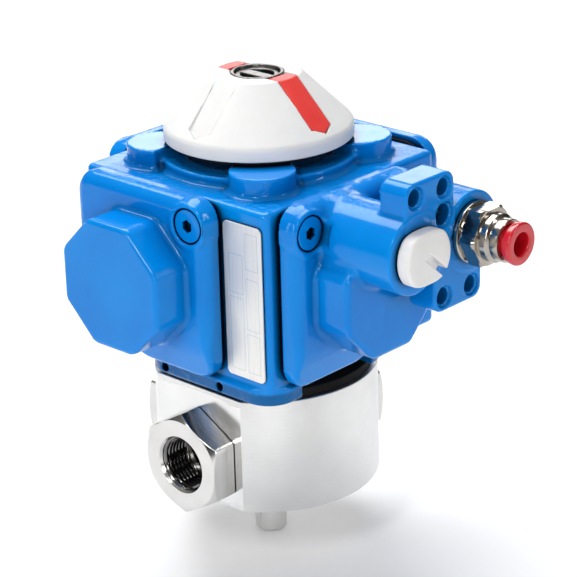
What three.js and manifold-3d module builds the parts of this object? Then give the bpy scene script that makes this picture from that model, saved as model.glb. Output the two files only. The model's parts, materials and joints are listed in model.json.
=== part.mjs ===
// Four-piston pneumatic quarter-turn actuator on a three-way stainless ball valve.
// Millimetres. Z is up along the stem, X along the straight pipe run, and the origin is the
// centre of the ball. The indicator shows the spring-closed rest position.

import * as THREE from 'three';
import { mergeVertices } from 'three/addons/utils/BufferGeometryUtils.js';
import Module from 'manifold-3d';

const wasm = await Module();
wasm.setup();

// ---- driving dimensions -------------------------------------------------------------------

const GAP = 0.3;               // clearance kept between pieces that touch

const HOUSING_HALF = 36;       // housing half width, X and Y
const HOUSING_BOTTOM = 31.5;
const HOUSING_TOP = 85.5;
const FOOT_HALF = 37;          // cast foot band below the housing
const FOOT_BOTTOM = 27.5;
const FOOT_CORNER = 9;
const FOOT_REACH = 15;         // each half of the foot runs this far past the centre
const FOOT_WINDOW = [-24, 6];   // drain window in the front of the foot
const LEAK_HOLES = [-16.6, 5.3];
const LEAK_HEIGHT = 29.7;
const LEAK_RADIUS = 1.3;
const BOSS_RADIUS = 9.5;       // four flat bosses on top of the housing
const BOSS_OFFSET = 20.5;
const BOSS_TOP = 91.4;
const BOSS_FLAT = 14.7;         // the rear left boss ends in a flat towards the indicator
const CURB_RADIUS = 29;
const CURB_TOP = 88.4;
const CURB_RECESS = 22;

const ARM_OFFSET = 6.6;        // each cylinder stands off the centre line by this much
const ARM_HEIGHT = 60;         // height of the four cylinder axes
const BORE_RADIUS = 17;
const BORE_START = 11;         // bores run outward from here
const CHAMBER_HALF = 15.6;     // central air chamber, clear of the rack ends
const CHAMBER_LOW = 44;
const CHAMBER_HIGH = 76;

const COVER_FACE = 44;         // outer face of a cover plate, from the stem axis
const COVER_HALF_WIDTH = 26;
const COVER_HALF_HEIGHT = 27;
const COVER_CORNER = 7;
const COVER_EDGE = 5;          // rounding of the plate's outer edge
const COVER_CUT = 31;          // the far lower corner is cut where |u| + |v| passes this
const GASKET_THICKNESS = 1;
const GASKET_FACE = HOUSING_HALF + GAP + GASKET_THICKNESS;
const COVER_BACK = GASKET_FACE + GAP;
const TOWER_FACE = 56;         // octagonal spring tower on each cover
const TOWER_ACROSS_FLATS = 38;
const TOWER_EDGE = 1.5;
const TOWER_CAVITY_RADIUS = 15.8;
const TOWER_CAVITY_END = 52.5;
const COVER_SCREW_X = 20;      // screw centres, from the tower axis
const COVER_SCREW_Z = 19.5;
const COVER_SCREW_HEAD = 5.2;
const SIDE_SCREW_X = 22.6;     // the smaller screw beside the tower
const SIDE_SCREW_Z = -3;
const SIDE_SCREW_HEAD = 2.9;
const SIDE_SCREW_SHANK = 1.5;
const SCREW_SHANK = 2.5;
const SHANK_HOLE = 3.2;        // clears a shank whatever way its facets are turned
const SIDE_SHANK_HOLE = 2;

const MODULE = 1;              // rack and pinion
const PINION_TEETH = 16;
const PITCH_RADIUS = MODULE * PINION_TEETH / 2;
const TOOTH_PITCH = Math.PI * MODULE;
const ADDENDUM = 0.8 * MODULE;
const DEDENDUM = 1.25 * MODULE;
const RACK_BACK = 6;           // depth of the rack bar behind its pitch line
const RACK_END = -15;
const RACK_HEIGHT = 12;
const RACK_LEVELS = { low: 53.6, high: 66.4 };

const PISTON_RADIUS = 16.7;
const PISTON_INNER = 16;       // inner face of the piston head at rest
const PISTON_OUTER = 23;
const PISTON_SEAL_X = 19.5;
const SEAL_SECTION = 1.05;
const SPRING_MEAN_RADIUS = 12.6;
const SPRING_WIRE = 2.4;
const SPRING_TURNS = 4.5;

const JOURNAL_RADIUS = 6.4;
const BEARING_RADIUS = 9;
const SHAFT_TOP = 110.6;
const DRIVE_SQUARE = 8;        // stem square in the pinion's socket
const DRIVE_TOP = 45;

const CONE_BOTTOM = 92.7;      // indicator
const CONE_RIM_TOP = 97.2;
const CONE_TOP = 111.4;
const CONE_RADIUS = 27.7;
const CONE_TOP_RADIUS = 12.6;
const CONE_HUB_RADIUS = 7.9;
const ARROW_HALF_WIDTH = 4.1;
const ARROW_SHOULDER = 24.4;   // where the arrow head starts to narrow
const ARROW_TIP = 26.2;
const ARROW_DEPTH = 1;

const PAD_FACE = 69;           // solenoid valve interface on the air cover
const PAD_HEIGHT = 75;
const PAD_THICKNESS = 9.5;
const PORT_PITCH = 12;         // ports stand this far each side of the centre
const SCREW_ROW = 16;          // screw rows above and below the ports
const PORT_BOSS_RADIUS = 11.6;
const PORT_RADIUS = 4.6;
const PLUG_RADIUS = 9.1;
const PLUG_HALF_FLATS = 7.7;
const PLUG_FACE = PAD_FACE + 4.8;
const PLUG_SLOT = [4, 2.6, 11];  // depth, width and length
const PLUG_SLOT_TURN = 0.84;
const FITTING_FLANGE = 8.9;      // steps of the air fitting, from the pad outward
const FITTING_FLATS = 16;
const FITTING_COLLAR = 7;
const FITTING_NOSE = 6.2;
const COLLET_BORE = 3.2;
const COLLET_SLEEVE = 4.6;
const LOBE_MARGIN = 4.3;
const LOBE_CORNER = 3.5;

const BODY_RADIUS = 33.6;      // stainless valve body
const BODY_TOP = 22.1;
const BODY_BOTTOM = -13.4;
const BODY_FLAT = 29.1;
const BODY_CHAMFER = 0.6;
const NECK_RADIUS = 25;
const BALL_RADIUS = 11;
const BALL_BORE = 5;
const CAVITY_RADIUS = 11.4;
const SOCKET_RADIUS = 13;
const SOCKET_START = 14;
const SEAT_NOSE_RADIUS = 7.7;   // slim enough for three seats round one ball
const CONNECTOR_FACE = 37.7;
const CONNECTOR_FLATS = 27.7;
const CONNECTOR_THREAD = 8.3;
const CONNECTOR_MOUTH = 8.9;
const THREAD_DEPTH = 12;
const PIN_RADIUS = 4.95;
const PIN_END = -35;
const STEM_RADIUS = 5;
const PACKING_RADIUS = 8;
const MOUNT_SCREW_OFFSET = 14.85;

// Facets round a circle: large visible faces, then bores, then small parts, then screw holes.
const FINE = 32;
const ROUND = 18;
const SMALL = 14;
const TINY = 6;

const COLOURS = {
  paint: { color: 0x0a6fd0, roughness: 0.22, metalness: 0 },
  steel: { color: 0xcdcdca, roughness: 0.32, metalness: 1 },
  nickel: { color: 0xb9b4a8, roughness: 0.2, metalness: 1 },
  alloy: { color: 0xb4b8bb, roughness: 0.4, metalness: 1 },
  brightPlate: { color: 0xdedfde, roughness: 0.35, metalness: 0.8 },
  spring: { color: 0x8f9499, roughness: 0.35, metalness: 1 },
  rubber: { color: 0x151515, roughness: 0.7, metalness: 0 },
  whitePlastic: { color: 0xf2f1ee, roughness: 0.45, metalness: 0 },
  redPlastic: { color: 0xd83a38, roughness: 0.4, metalness: 0 },
  bearing: { color: 0x3b3a36, roughness: 0.6, metalness: 0 },
  seat: { color: 0xe8e2d2, roughness: 0.5, metalness: 0 },
};

// ---- solids -------------------------------------------------------------------------------

function solid(geometry) {
  const bare = geometry.clone();
  for (const name of Object.keys(bare.attributes)) {
    if (name !== 'position') bare.deleteAttribute(name);
  }
  const merged = mergeVertices(bare, 1e-4);
  const mesh = new wasm.Mesh({
    numProp: 3,
    vertProperties: new Float32Array(merged.attributes.position.array),
    triVerts: new Uint32Array(merged.index.array),
  });
  return new wasm.Manifold(mesh);
}

function surface(body) {
  const mesh = body.getMesh();
  const geometry = new THREE.BufferGeometry();
  geometry.setAttribute('position', new THREE.BufferAttribute(mesh.vertProperties, 3));
  geometry.setIndex(new THREE.BufferAttribute(mesh.triVerts, 1));
  geometry.computeVertexNormals();
  return geometry;
}

// The turn that carries a shape drawn along +Z to another axis.
function aim(geometry, axis) {
  if (axis === 'x') geometry.rotateY(Math.PI / 2);
  if (axis === 'y') geometry.rotateX(-Math.PI / 2);
  return geometry;
}

function box(x0, x1, y0, y1, z0, z1) {
  const geometry = new THREE.BoxGeometry(x1 - x0, y1 - y0, z1 - z0);
  geometry.translate((x0 + x1) / 2, (y0 + y1) / 2, (z0 + z1) / 2);
  return solid(geometry);
}

// A cylinder or cone from one place to another along an axis, centred on two other coordinates.
function rod(axis, from, to, radius, centre = [0, 0], segments = ROUND, endRadius = radius) {
  const geometry = new THREE.CylinderGeometry(endRadius, radius, to - from, segments);
  geometry.rotateX(Math.PI / 2);
  geometry.translate(0, 0, (from + to) / 2);
  aim(geometry, axis);
  const [a, b] = centre;
  if (axis === 'x') geometry.translate(0, a, b);
  if (axis === 'y') geometry.translate(a, 0, b);
  if (axis === 'z') geometry.translate(a, b, 0);
  return solid(geometry);
}

// A revolved profile of [radius, height] points. It closes on itself or on the axis.
function turned(profile, segments = ROUND) {
  const points = profile.map(([r, z]) => new THREE.Vector2(r, z));
  const geometry = new THREE.LatheGeometry(points, segments);
  geometry.rotateX(Math.PI / 2);
  return geometry;
}

function tube(axis, from, to, outer, inner, centre = [0, 0], segments = ROUND) {
  const hole = rod(axis, from - 1, to + 1, inner, centre, segments);
  return rod(axis, from, to, outer, centre, segments).subtract(hole);
}

function ring(majorRadius, sectionRadius, segments = 16, sides = 5) {
  return new THREE.TorusGeometry(majorRadius, sectionRadius, sides, segments);
}

function outline(points) {
  const shape = new THREE.Shape();
  points.forEach(([u, v], i) => (i ? shape.lineTo(u, v) : shape.moveTo(u, v)));
  shape.closePath();
  return shape;
}

function roundedRectangle(u0, u1, v0, v1, radius) {
  const shape = new THREE.Shape();
  shape.moveTo(u0 + radius, v0);
  shape.absarc(u1 - radius, v0 + radius, radius, -Math.PI / 2, 0);
  shape.absarc(u1 - radius, v1 - radius, radius, 0, Math.PI / 2);
  shape.absarc(u0 + radius, v1 - radius, radius, Math.PI / 2, Math.PI);
  shape.absarc(u0 + radius, v0 + radius, radius, Math.PI, Math.PI * 1.5);
  return shape;
}

function polygon(sides, acrossFlats, turn = 0) {
  const radius = acrossFlats / 2 / Math.cos(Math.PI / sides);
  const corner = (i) => turn + (i + 0.5) * 2 * Math.PI / sides;
  return Array.from({ length: sides }, (_, i) => [
    radius * Math.cos(corner(i)),
    radius * Math.sin(corner(i)),
  ]);
}

// An outline extruded along +Z, with its rim rounded by edge millimetres at both ends.
function slab(shape, from, to, edge = 0, curveSegments = 4) {
  const geometry = new THREE.ExtrudeGeometry(shape, {
    depth: to - from - 2 * edge,
    bevelEnabled: edge > 0,
    bevelThickness: edge,
    bevelSize: edge,
    bevelOffset: -edge,
    bevelSegments: edge > 2 ? 3 : 1,
    curveSegments,
  });
  geometry.translate(0, 0, from + edge);
  return geometry;
}

// Turns a slab drawn in (u, v) to stand with +X outward, u along Y and v along Z.
function facingX(geometry) {
  geometry.rotateX(Math.PI / 2);
  geometry.rotateZ(Math.PI / 2);
  return geometry;
}

function piece(name, colour, body) {
  const geometry = body instanceof wasm.Manifold ? surface(body) : body;
  const mesh = new THREE.Mesh(geometry, new THREE.MeshStandardMaterial(COLOURS[colour]));
  mesh.name = name;
  return mesh;
}

// ---- housing ------------------------------------------------------------------------------

// The solid turned by quarter turns about the stem, once for each of the four cylinders.
function aroundStem(make) {
  return [0, 1, 2, 3].map((quarter) => {
    const geometry = surface(make());
    geometry.rotateZ(quarter * Math.PI / 2);
    return solid(geometry);
  });
}

function cylinderBore() {
  return rod('x', BORE_START, HOUSING_HALF + 1, BORE_RADIUS, [-ARM_OFFSET, ARM_HEIGHT], ROUND);
}

function topBoss() {
  return rod('z', HOUSING_TOP - 1, BOSS_TOP, BOSS_RADIUS, [BOSS_OFFSET, BOSS_OFFSET], ROUND);
}

function coverScrewTaps(side) {
  const [upper, lower] = screwPlaces(side);
  const upperTap = rod('x', 22, HOUSING_HALF + 1, SHANK_HOLE, upper, TINY);
  return upperTap.add(rod('x', 28, HOUSING_HALF + 1, SIDE_SHANK_HOLE, lower, TINY));
}

function mountScrewHole() {
  const centre = [MOUNT_SCREW_OFFSET, MOUNT_SCREW_OFFSET];
  const shank = rod('z', FOOT_BOTTOM - 1, CHAMBER_LOW + 1, SHANK_HOLE, centre, TINY);
  return shank.add(rod('z', 38.4, CHAMBER_LOW + 1, 4.6, centre, SMALL));
}

// The foot is two overlapping squares along one diagonal.
function foot(low, high) {
  const shape = roundedRectangle(low, high, low, high, FOOT_CORNER);
  return solid(slab(shape, FOOT_BOTTOM, HOUSING_BOTTOM + 0.5, 0, 5));
}

function housingCasting() {
  const h = HOUSING_HALF;
  const main = solid(slab(roundedRectangle(-h, h, -h, h, 1), HOUSING_BOTTOM, HOUSING_TOP, 0, 2));
  let casting = main.add(foot(-FOOT_HALF, FOOT_REACH)).add(foot(-FOOT_REACH, FOOT_HALF));
  casting = casting.add(rod('z', HOUSING_TOP - 1, CURB_TOP, CURB_RADIUS, [0, 0], FINE));
  const bosses = aroundStem(topBoss);
  const edge = BOSS_OFFSET + BOSS_RADIUS + 1;
  bosses[1] = bosses[1].subtract(box(-edge, 0, 0, BOSS_FLAT, HOUSING_TOP, BOSS_TOP + 1));
  for (const boss of bosses) casting = casting.add(boss);
  return casting;
}

function housing() {
  let casting = housingCasting();
  for (const bore of aroundStem(cylinderBore)) casting = casting.subtract(bore);
  for (const hole of aroundStem(mountScrewHole)) casting = casting.subtract(hole);
  const plainTaps = aroundStem(() => coverScrewTaps(1)).slice(0, 3);
  const frontTaps = aroundStem(() => coverScrewTaps(-1))[3];
  for (const taps of [...plainTaps, frontTaps]) casting = casting.subtract(taps);
  const c = CHAMBER_HALF;
  casting = casting.subtract(box(-c, c, -c, c, CHAMBER_LOW, CHAMBER_HIGH));
  casting = casting.subtract(rod('z', FOOT_BOTTOM - 1, BOSS_TOP + 1, BEARING_RADIUS + GAP));
  casting = casting.subtract(rod('z', CURB_TOP - 1, BOSS_TOP + 1, CURB_RECESS));
  const window = box(...FOOT_WINDOW, -FOOT_HALF - 1, -28, FOOT_BOTTOM - 1, HOUSING_BOTTOM);
  casting = casting.subtract(window);
  for (const y of LEAK_HOLES) {
    casting = casting.subtract(rod('x', -FOOT_HALF - 1, -30, LEAK_RADIUS, [y, LEAK_HEIGHT], TINY));
  }
  return piece('actuator_housing', 'paint', casting);
}

// ---- one cylinder arm, drawn with +X outward ------------------------------------------------

// A rounded rectangle with one lower corner cut off. Side +1 cuts the lower left one.
function plateOutline(side, shrink = 0) {
  const w = COVER_HALF_WIDTH - shrink;
  const h = COVER_HALF_HEIGHT - shrink;
  const r = COVER_CORNER - shrink / 2;
  const cut = COVER_CUT - shrink;
  const shape = new THREE.Shape();
  shape.moveTo(-w, h - r);
  shape.absarc(-w + r, h - r, r, Math.PI, Math.PI / 2, true);
  shape.absarc(w - r, h - r, r, Math.PI / 2, 0, true);
  shape.absarc(w - r, -h + r, r, 0, -Math.PI / 2, true);
  shape.lineTo(h - cut, -h);
  shape.lineTo(-w, w - cut);
  shape.closePath();
  return side > 0 ? shape : mirrored(shape);
}

function mirrored(shape) {
  return new THREE.Shape(shape.getPoints(4).map((p) => new THREE.Vector2(-p.x, p.y)));
}

// Moves a solid drawn round the cylinder axis to its place in the arm.
function onAxis(geometry) {
  geometry.translate(0, -ARM_OFFSET, ARM_HEIGHT);
  return geometry;
}

function coverPlate(side) {
  const behind = COVER_BACK - 2 * COVER_EDGE;
  const plate = solid(onAxis(facingX(slab(plateOutline(side), behind, COVER_FACE, COVER_EDGE))));
  const w = COVER_HALF_WIDTH + 5;
  const rear = box(behind - 1, COVER_BACK, -w - ARM_OFFSET, w - ARM_OFFSET, 20, 100);
  return plate.subtract(rear).subtract(lowerSlope());
}

// The plate thins towards its lower edge.
function lowerSlope() {
  const low = -COVER_HALF_HEIGHT - 1;
  const shape = outline([[COVER_FACE - 3.5, low], [COVER_FACE + 2, low], [COVER_FACE + 2, -17],
    [COVER_FACE, -17.5]]);
  const geometry = new THREE.ExtrudeGeometry(shape, { depth: 60, bevelEnabled: false });
  geometry.rotateX(Math.PI / 2);
  geometry.translate(0, 30, 0);
  return solid(onAxis(geometry));
}

function tower() {
  const shape = outline(polygon(8, TOWER_ACROSS_FLATS));
  return solid(onAxis(facingX(slab(shape, COVER_FACE - 5, TOWER_FACE, TOWER_EDGE))));
}

function springCavity() {
  const centre = [-ARM_OFFSET, ARM_HEIGHT];
  const wide = rod('x', COVER_BACK - 1, COVER_FACE - 3, BORE_RADIUS, centre, ROUND);
  const deep = rod('x', COVER_FACE - 4, TOWER_CAVITY_END, TOWER_CAVITY_RADIUS, centre, ROUND);
  return wide.add(deep);
}

function upperScrewSeat([y, z]) {
  const shank = rod('x', COVER_BACK - 1, COVER_FACE, SHANK_HOLE, [y, z], TINY);
  return shank.add(rod('x', COVER_FACE - 3.4, COVER_FACE + 3, COVER_SCREW_HEAD + GAP, [y, z], SMALL));
}

function sideScrewSeat([y, z]) {
  const shank = rod('x', COVER_BACK - 1, COVER_FACE, SIDE_SHANK_HOLE, [y, z], TINY);
  return shank.add(rod('x', COVER_FACE - 3, COVER_FACE + 3, SIDE_SCREW_HEAD + GAP, [y, z], SMALL));
}

// A large screw in one upper corner and a small one beside the tower on the other side.
// Side +1 has the large one at the upper right.
function screwPlaces(side) {
  return [
    [side * COVER_SCREW_X - ARM_OFFSET, ARM_HEIGHT + COVER_SCREW_Z],
    [-side * SIDE_SCREW_X - ARM_OFFSET, ARM_HEIGHT + SIDE_SCREW_Z],
  ];
}

function cutScrewSeats(cover, side) {
  const [upper, lower] = screwPlaces(side);
  return cover.subtract(upperScrewSeat(upper)).subtract(sideScrewSeat(lower));
}

function plainCover(side) {
  const cover = coverPlate(side).add(tower());
  return cutScrewSeats(cover, side).subtract(springCavity());
}

function gasket(side) {
  const sheet = facingX(slab(plateOutline(side, 1.5), HOUSING_HALF + GAP, GASKET_FACE, 0, 2));
  const centre = [-ARM_OFFSET, ARM_HEIGHT];
  let body = solid(onAxis(sheet));
  body = body.subtract(rod('x', HOUSING_HALF, GASKET_FACE + 1, BORE_RADIUS + 0.4, centre, ROUND));
  const [upper, lower] = screwPlaces(side);
  body = body.subtract(rod('x', HOUSING_HALF, GASKET_FACE + 1, SHANK_HOLE, upper, TINY));
  return body.subtract(rod('x', HOUSING_HALF, GASKET_FACE + 1, SIDE_SHANK_HOLE, lower, TINY));
}

function coverScrew([y, z]) {
  const shank = rod('x', 24, COVER_FACE - 2, SCREW_SHANK, [y, z], TINY);
  const head = rod('x', COVER_FACE - 3.1, COVER_FACE - 0.2, COVER_SCREW_HEAD, [y, z], SMALL);
  return socketed(shank.add(head), 3, y, z);
}

function sideScrew([y, z]) {
  const shank = rod('x', 29, COVER_FACE - 2, SIDE_SCREW_SHANK, [y, z], TINY);
  const head = rod('x', COVER_FACE - 2.7, COVER_FACE - 0.2, SIDE_SCREW_HEAD, [y, z], SMALL);
  return socketed(shank.add(head), 2.5, y, z);
}

// Cuts the hexagon for the key into a screw head.
function socketed(screw, acrossFlats, y, z) {
  const key = facingX(slab(outline(polygon(6, acrossFlats)), COVER_FACE - 1.8, COVER_FACE + 1));
  key.translate(0, y, z);
  return screw.subtract(solid(key));
}

// The toothed bar: a straight rack whose teeth face the pinion on +Y.
function rackOutline() {
  const points = [];
  const half = 0.36 * TOOTH_PITCH;
  const crest = 0.12 * TOOTH_PITCH;
  const first = Math.round(RACK_END / TOOTH_PITCH + 0.5);
  const last = Math.floor((PISTON_INNER - 1) / TOOTH_PITCH - 0.5);
  for (let i = first; i <= last; i += 1) {
    const centre = (i + 0.5) * TOOTH_PITCH;
    points.push([centre - half, -DEDENDUM], [centre - crest, ADDENDUM]);
    points.push([centre + crest, ADDENDUM], [centre + half, -DEDENDUM]);
  }
  points.push([PISTON_INNER + 1, -DEDENDUM], [PISTON_INNER + 1, -RACK_BACK]);
  points.push([RACK_END, -RACK_BACK], [RACK_END, -DEDENDUM]);
  return outline(points);
}

function piston(level) {
  const low = RACK_LEVELS[level] - RACK_HEIGHT / 2;
  const bar = slab(rackOutline(), low, low + RACK_HEIGHT);
  bar.translate(0, -PITCH_RADIUS, 0);
  const centre = [-ARM_OFFSET, ARM_HEIGHT];
  let body = rod('x', PISTON_INNER, PISTON_OUTER, PISTON_RADIUS, centre, ROUND);
  const groove = SEAL_SECTION + 0.25;
  const inner = PISTON_RADIUS - 2 * SEAL_SECTION - 0.4;
  const channel = tube('x', PISTON_SEAL_X - groove, PISTON_SEAL_X + groove, PISTON_RADIUS + 1, inner,
    centre, ROUND);
  body = body.subtract(channel);
  body = body.add(rod('x', PISTON_OUTER - 1, PISTON_OUTER + 4, 9.5, centre, SMALL));
  return body.add(solid(bar));
}

function pistonSeal() {
  const geometry = ring(PISTON_RADIUS - SEAL_SECTION - 0.1, SEAL_SECTION);
  geometry.rotateY(Math.PI / 2);
  geometry.translate(PISTON_SEAL_X, 0, 0);
  return onAxis(geometry);
}

class Helix extends THREE.Curve {
  constructor(radius, from, to, turns) {
    super();
    Object.assign(this, { radius, from, to, turns });
  }

  getPoint(t, target = new THREE.Vector3()) {
    const angle = 2 * Math.PI * this.turns * t;
    const x = this.from + (this.to - this.from) * t;
    return target.set(x, this.radius * Math.cos(angle), this.radius * Math.sin(angle));
  }
}

function spring() {
  const wire = SPRING_WIRE / 2;
  const start = PISTON_OUTER + GAP + wire;
  const end = TOWER_CAVITY_END - GAP - wire;
  const path = new Helix(SPRING_MEAN_RADIUS, start, end, SPRING_TURNS);
  const section = outline(polygon(5, SPRING_WIRE));
  const steps = Math.round(SPRING_TURNS * 9);
  return onAxis(new THREE.ExtrudeGeometry(section, { steps, extrudePath: path }));
}

// ---- air cover: a plain cover that also carries the solenoid valve interface -----------------

function interfaceHoles() {
  return [[-PORT_PITCH, SCREW_ROW], [0, SCREW_ROW], [0, -SCREW_ROW], [PORT_PITCH, -SCREW_ROW]];
}

function interfacePad() {
  const back = PAD_FACE - PAD_THICKNESS;
  const m = LOBE_MARGIN;
  const upper = roundedRectangle(-PORT_PITCH - m, m, 0, SCREW_ROW + m, LOBE_CORNER);
  const lower = roundedRectangle(-m, PORT_PITCH + m, -SCREW_ROW - m, 0, LOBE_CORNER);
  const lobe = (shape) => {
    const geometry = facingX(slab(shape, back, PAD_FACE, 0, 3));
    geometry.translate(0, 0, PAD_HEIGHT);
    return solid(geometry);
  };
  let pad = lobe(upper).add(lobe(lower));
  for (const side of [-1, 1]) {
    const centre = [side * PORT_PITCH, PAD_HEIGHT];
    pad = pad.add(rod('x', COVER_FACE - 4, PAD_FACE, PORT_BOSS_RADIUS, centre, ROUND));
  }
  return pad;
}

function airCover() {
  let cover = coverPlate(-1).add(tower()).add(interfacePad());
  cover = cutScrewSeats(cover, -1).subtract(springCavity());
  for (const [y, dz] of interfaceHoles()) {
    cover = cover.subtract(rod('x', PAD_FACE - 8, PAD_FACE + 1, 2.4, [y, PAD_HEIGHT + dz], TINY));
  }
  cover = cover.subtract(rod('x', PAD_FACE - 5, PAD_FACE + 1, 3, [0, PAD_HEIGHT + 8], TINY));
  for (const side of [-1, 1]) {
    const centre = [side * PORT_PITCH, PAD_HEIGHT];
    cover = cover.subtract(rod('x', PAD_FACE - 12, PAD_FACE + 1, PORT_RADIUS, centre, SMALL));
  }
  return cover;
}

function portPlug() {
  const centre = [-PORT_PITCH, PAD_HEIGHT];
  const [depth, width, length] = PLUG_SLOT;
  let cap = rod('x', PAD_FACE + GAP, PLUG_FACE - 1, PLUG_RADIUS, centre, SMALL);
  cap = cap.add(rod('x', PLUG_FACE - 1, PLUG_FACE, PLUG_RADIUS, centre, SMALL, PLUG_RADIUS - 1.1));
  const half = PLUG_HALF_FLATS;
  cap = cap.intersect(box(PAD_FACE, PLUG_FACE, -2 * PORT_PITCH, 0, PAD_HEIGHT - half, PAD_HEIGHT + half));
  const plug = cap.add(rod('x', PAD_FACE - 8, PAD_FACE + 1, PORT_RADIUS - GAP, centre, SMALL));
  const slot = new THREE.BoxGeometry(depth, width, length);
  slot.translate(PLUG_FACE, 0, -length / 2);
  slot.rotateX(PLUG_SLOT_TURN);
  slot.translate(0, -PORT_PITCH, PAD_HEIGHT);
  return plug.subtract(solid(slot));
}

function airFitting() {
  const centre = [PORT_PITCH, PAD_HEIGHT];
  const shape = outline(polygon(6, FITTING_FLATS, Math.PI / 6));
  const hexagon = facingX(slab(shape, PAD_FACE + 1.6, PAD_FACE + 7.6));
  hexagon.translate(0, PORT_PITCH, PAD_HEIGHT);
  let body = rod('x', PAD_FACE - 8, PAD_FACE + 1, PORT_RADIUS - GAP, centre, SMALL);
  body = body.add(rod('x', PAD_FACE + GAP, PAD_FACE + 2, FITTING_FLANGE, centre, SMALL));
  body = body.add(solid(hexagon));
  body = body.add(rod('x', PAD_FACE + 7, PAD_FACE + 10.2, FITTING_COLLAR, centre, SMALL));
  body = body.add(rod('x', PAD_FACE + 10, PAD_FACE + 13.2, FITTING_NOSE, centre, SMALL));
  body = body.subtract(rod('x', PAD_FACE + 5, PAD_FACE + 14, COLLET_SLEEVE + GAP, centre, SMALL));
  return body.subtract(rod('x', PAD_FACE - 9, PAD_FACE + 6, 2.4, centre, TINY));
}

// The collet slides into the fitting to let go of the tube.
function releaseCollet() {
  const centre = [PORT_PITCH, PAD_HEIGHT];
  const sleeve = rod('x', PAD_FACE + 7.2, PAD_FACE + 15.4, COLLET_SLEEVE, centre, SMALL);
  const flange = rod('x', PAD_FACE + 14.8, PAD_FACE + 17.2, FITTING_NOSE, centre, SMALL);
  return sleeve.add(flange).subtract(rod('x', PAD_FACE + 7, PAD_FACE + 18, COLLET_BORE, centre, SMALL));
}

// ---- pinion and indicator -----------------------------------------------------------------

function pinionOutline() {
  const points = [];
  const angle = 2 * Math.PI / PINION_TEETH;
  const spot = (radius, turn) => [radius * Math.cos(turn), radius * Math.sin(turn)];
  for (let i = 0; i < PINION_TEETH; i += 1) {
    const centre = i * angle;
    points.push(spot(PITCH_RADIUS - DEDENDUM, centre - 0.36 * angle));
    points.push(spot(PITCH_RADIUS + ADDENDUM, centre - 0.12 * angle));
    points.push(spot(PITCH_RADIUS + ADDENDUM, centre + 0.12 * angle));
    points.push(spot(PITCH_RADIUS - DEDENDUM, centre + 0.36 * angle));
  }
  return outline(points);
}

function pinionShaft() {
  let shaft = solid(slab(pinionOutline(), 46, 74));
  shaft = shaft.add(rod('z', 33, SHAFT_TOP, JOURNAL_RADIUS, [0, 0], ROUND));
  const half = DRIVE_SQUARE / 2 + GAP;
  shaft = shaft.subtract(box(-half, half, -half, half, 32, DRIVE_TOP));
  const pocket = rod('z', SHAFT_TOP - 4, SHAFT_TOP + 1, 4.9, [0, 0], SMALL);
  shaft = shaft.subtract(pocket.subtract(box(-1.7, 1.7, -6, 6, 100, 120)));
  return piece('pinion_shaft', 'alloy', shaft);
}

function bush(name, from, to) {
  return piece(name, 'bearing', tube('z', from, to, BEARING_RADIUS, JOURNAL_RADIUS + GAP));
}

function coneProfile(inset = 0) {
  return [
    [0, CONE_BOTTOM - 5],
    [CONE_RADIUS - inset, CONE_BOTTOM - 5],
    [CONE_RADIUS - inset, CONE_RIM_TOP - 1.4],
    [CONE_RADIUS - inset - 0.7, CONE_RIM_TOP - inset],
    [CONE_TOP_RADIUS - inset * 0.6, CONE_TOP - inset],
    [0, CONE_TOP - inset],
  ];
}

// The upright prism of an arrow that points along +X, from one radius outward.
function arrowPrism(start, shrink) {
  const w = ARROW_HALF_WIDTH - shrink;
  const shape = outline([[start, -w], [ARROW_SHOULDER - shrink * 0.4, -w], [ARROW_TIP - shrink * 1.4, 0],
    [ARROW_SHOULDER - shrink * 0.4, w], [start, w]]);
  return solid(slab(shape, CONE_BOTTOM, CONE_TOP + 2));
}

// The outer skin of the cone where an arrow lies, as deep as the arrow's recess.
function arrowSkin(start, shrink, depth) {
  const core = solid(turned(coneProfile(depth), FINE));
  return arrowPrism(start, shrink).subtract(core);
}

function indicatorCone() {
  let cone = solid(turned(coneProfile(), FINE));
  cone = cone.subtract(box(-40, 40, -40, 40, 80, CONE_BOTTOM));
  const hollow = [[0, CONE_BOTTOM - 1], [22, CONE_BOTTOM - 1], [22, CONE_BOTTOM + 1.5],
    [10.2, CONE_TOP - 4.5], [0, CONE_TOP - 4.5]];
  const hub = rod('z', CONE_BOTTOM, CONE_TOP, 9.4, [0, 0], ROUND);
  cone = cone.subtract(solid(turned(hollow, ROUND)).subtract(hub));
  cone = cone.subtract(rod('z', CONE_BOTTOM - 1, CONE_TOP + 1, CONE_HUB_RADIUS, [0, 0], ROUND));
  [0, 1, 2, 3].forEach((quarter) => {
    const depth = quarter % 2 ? ARROW_DEPTH : 0.3;
    const recess = surface(arrowSkin(CONE_HUB_RADIUS - 1, 0, depth));
    recess.rotateZ(quarter * Math.PI / 2);
    cone = cone.subtract(solid(recess));
  });
  return piece('indicator_cone', 'whitePlastic', cone);
}

function redArrow(name, quarter) {
  const cap = solid(turned(coneProfile(), FINE));
  const inlay = arrowSkin(CONE_HUB_RADIUS + GAP, 0.3, ARROW_DEPTH - 0.3).intersect(cap);
  const mesh = piece(name, 'redPlastic', inlay);
  mesh.rotation.z = quarter * Math.PI / 2;
  return mesh;
}

function indicator() {
  const group = new THREE.Group();
  group.add(indicatorCone());
  group.add(redArrow('front_red_arrow', -1));
  group.add(redArrow('rear_red_arrow', 1));
  const sleeve = tube('z', CONE_TOP - 9, CONE_TOP, CONE_HUB_RADIUS - GAP, JOURNAL_RADIUS + GAP);
  group.add(piece('indicator_ring', 'steel', sleeve));
  const under = CONE_BOTTOM - GAP;
  group.add(piece('indicator_gasket', 'rubber', tube('z', under - 0.8, under, 26.6, 9.6, [0, 0], ROUND)));
  return group;
}

// ---- valve --------------------------------------------------------------------------------

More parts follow.
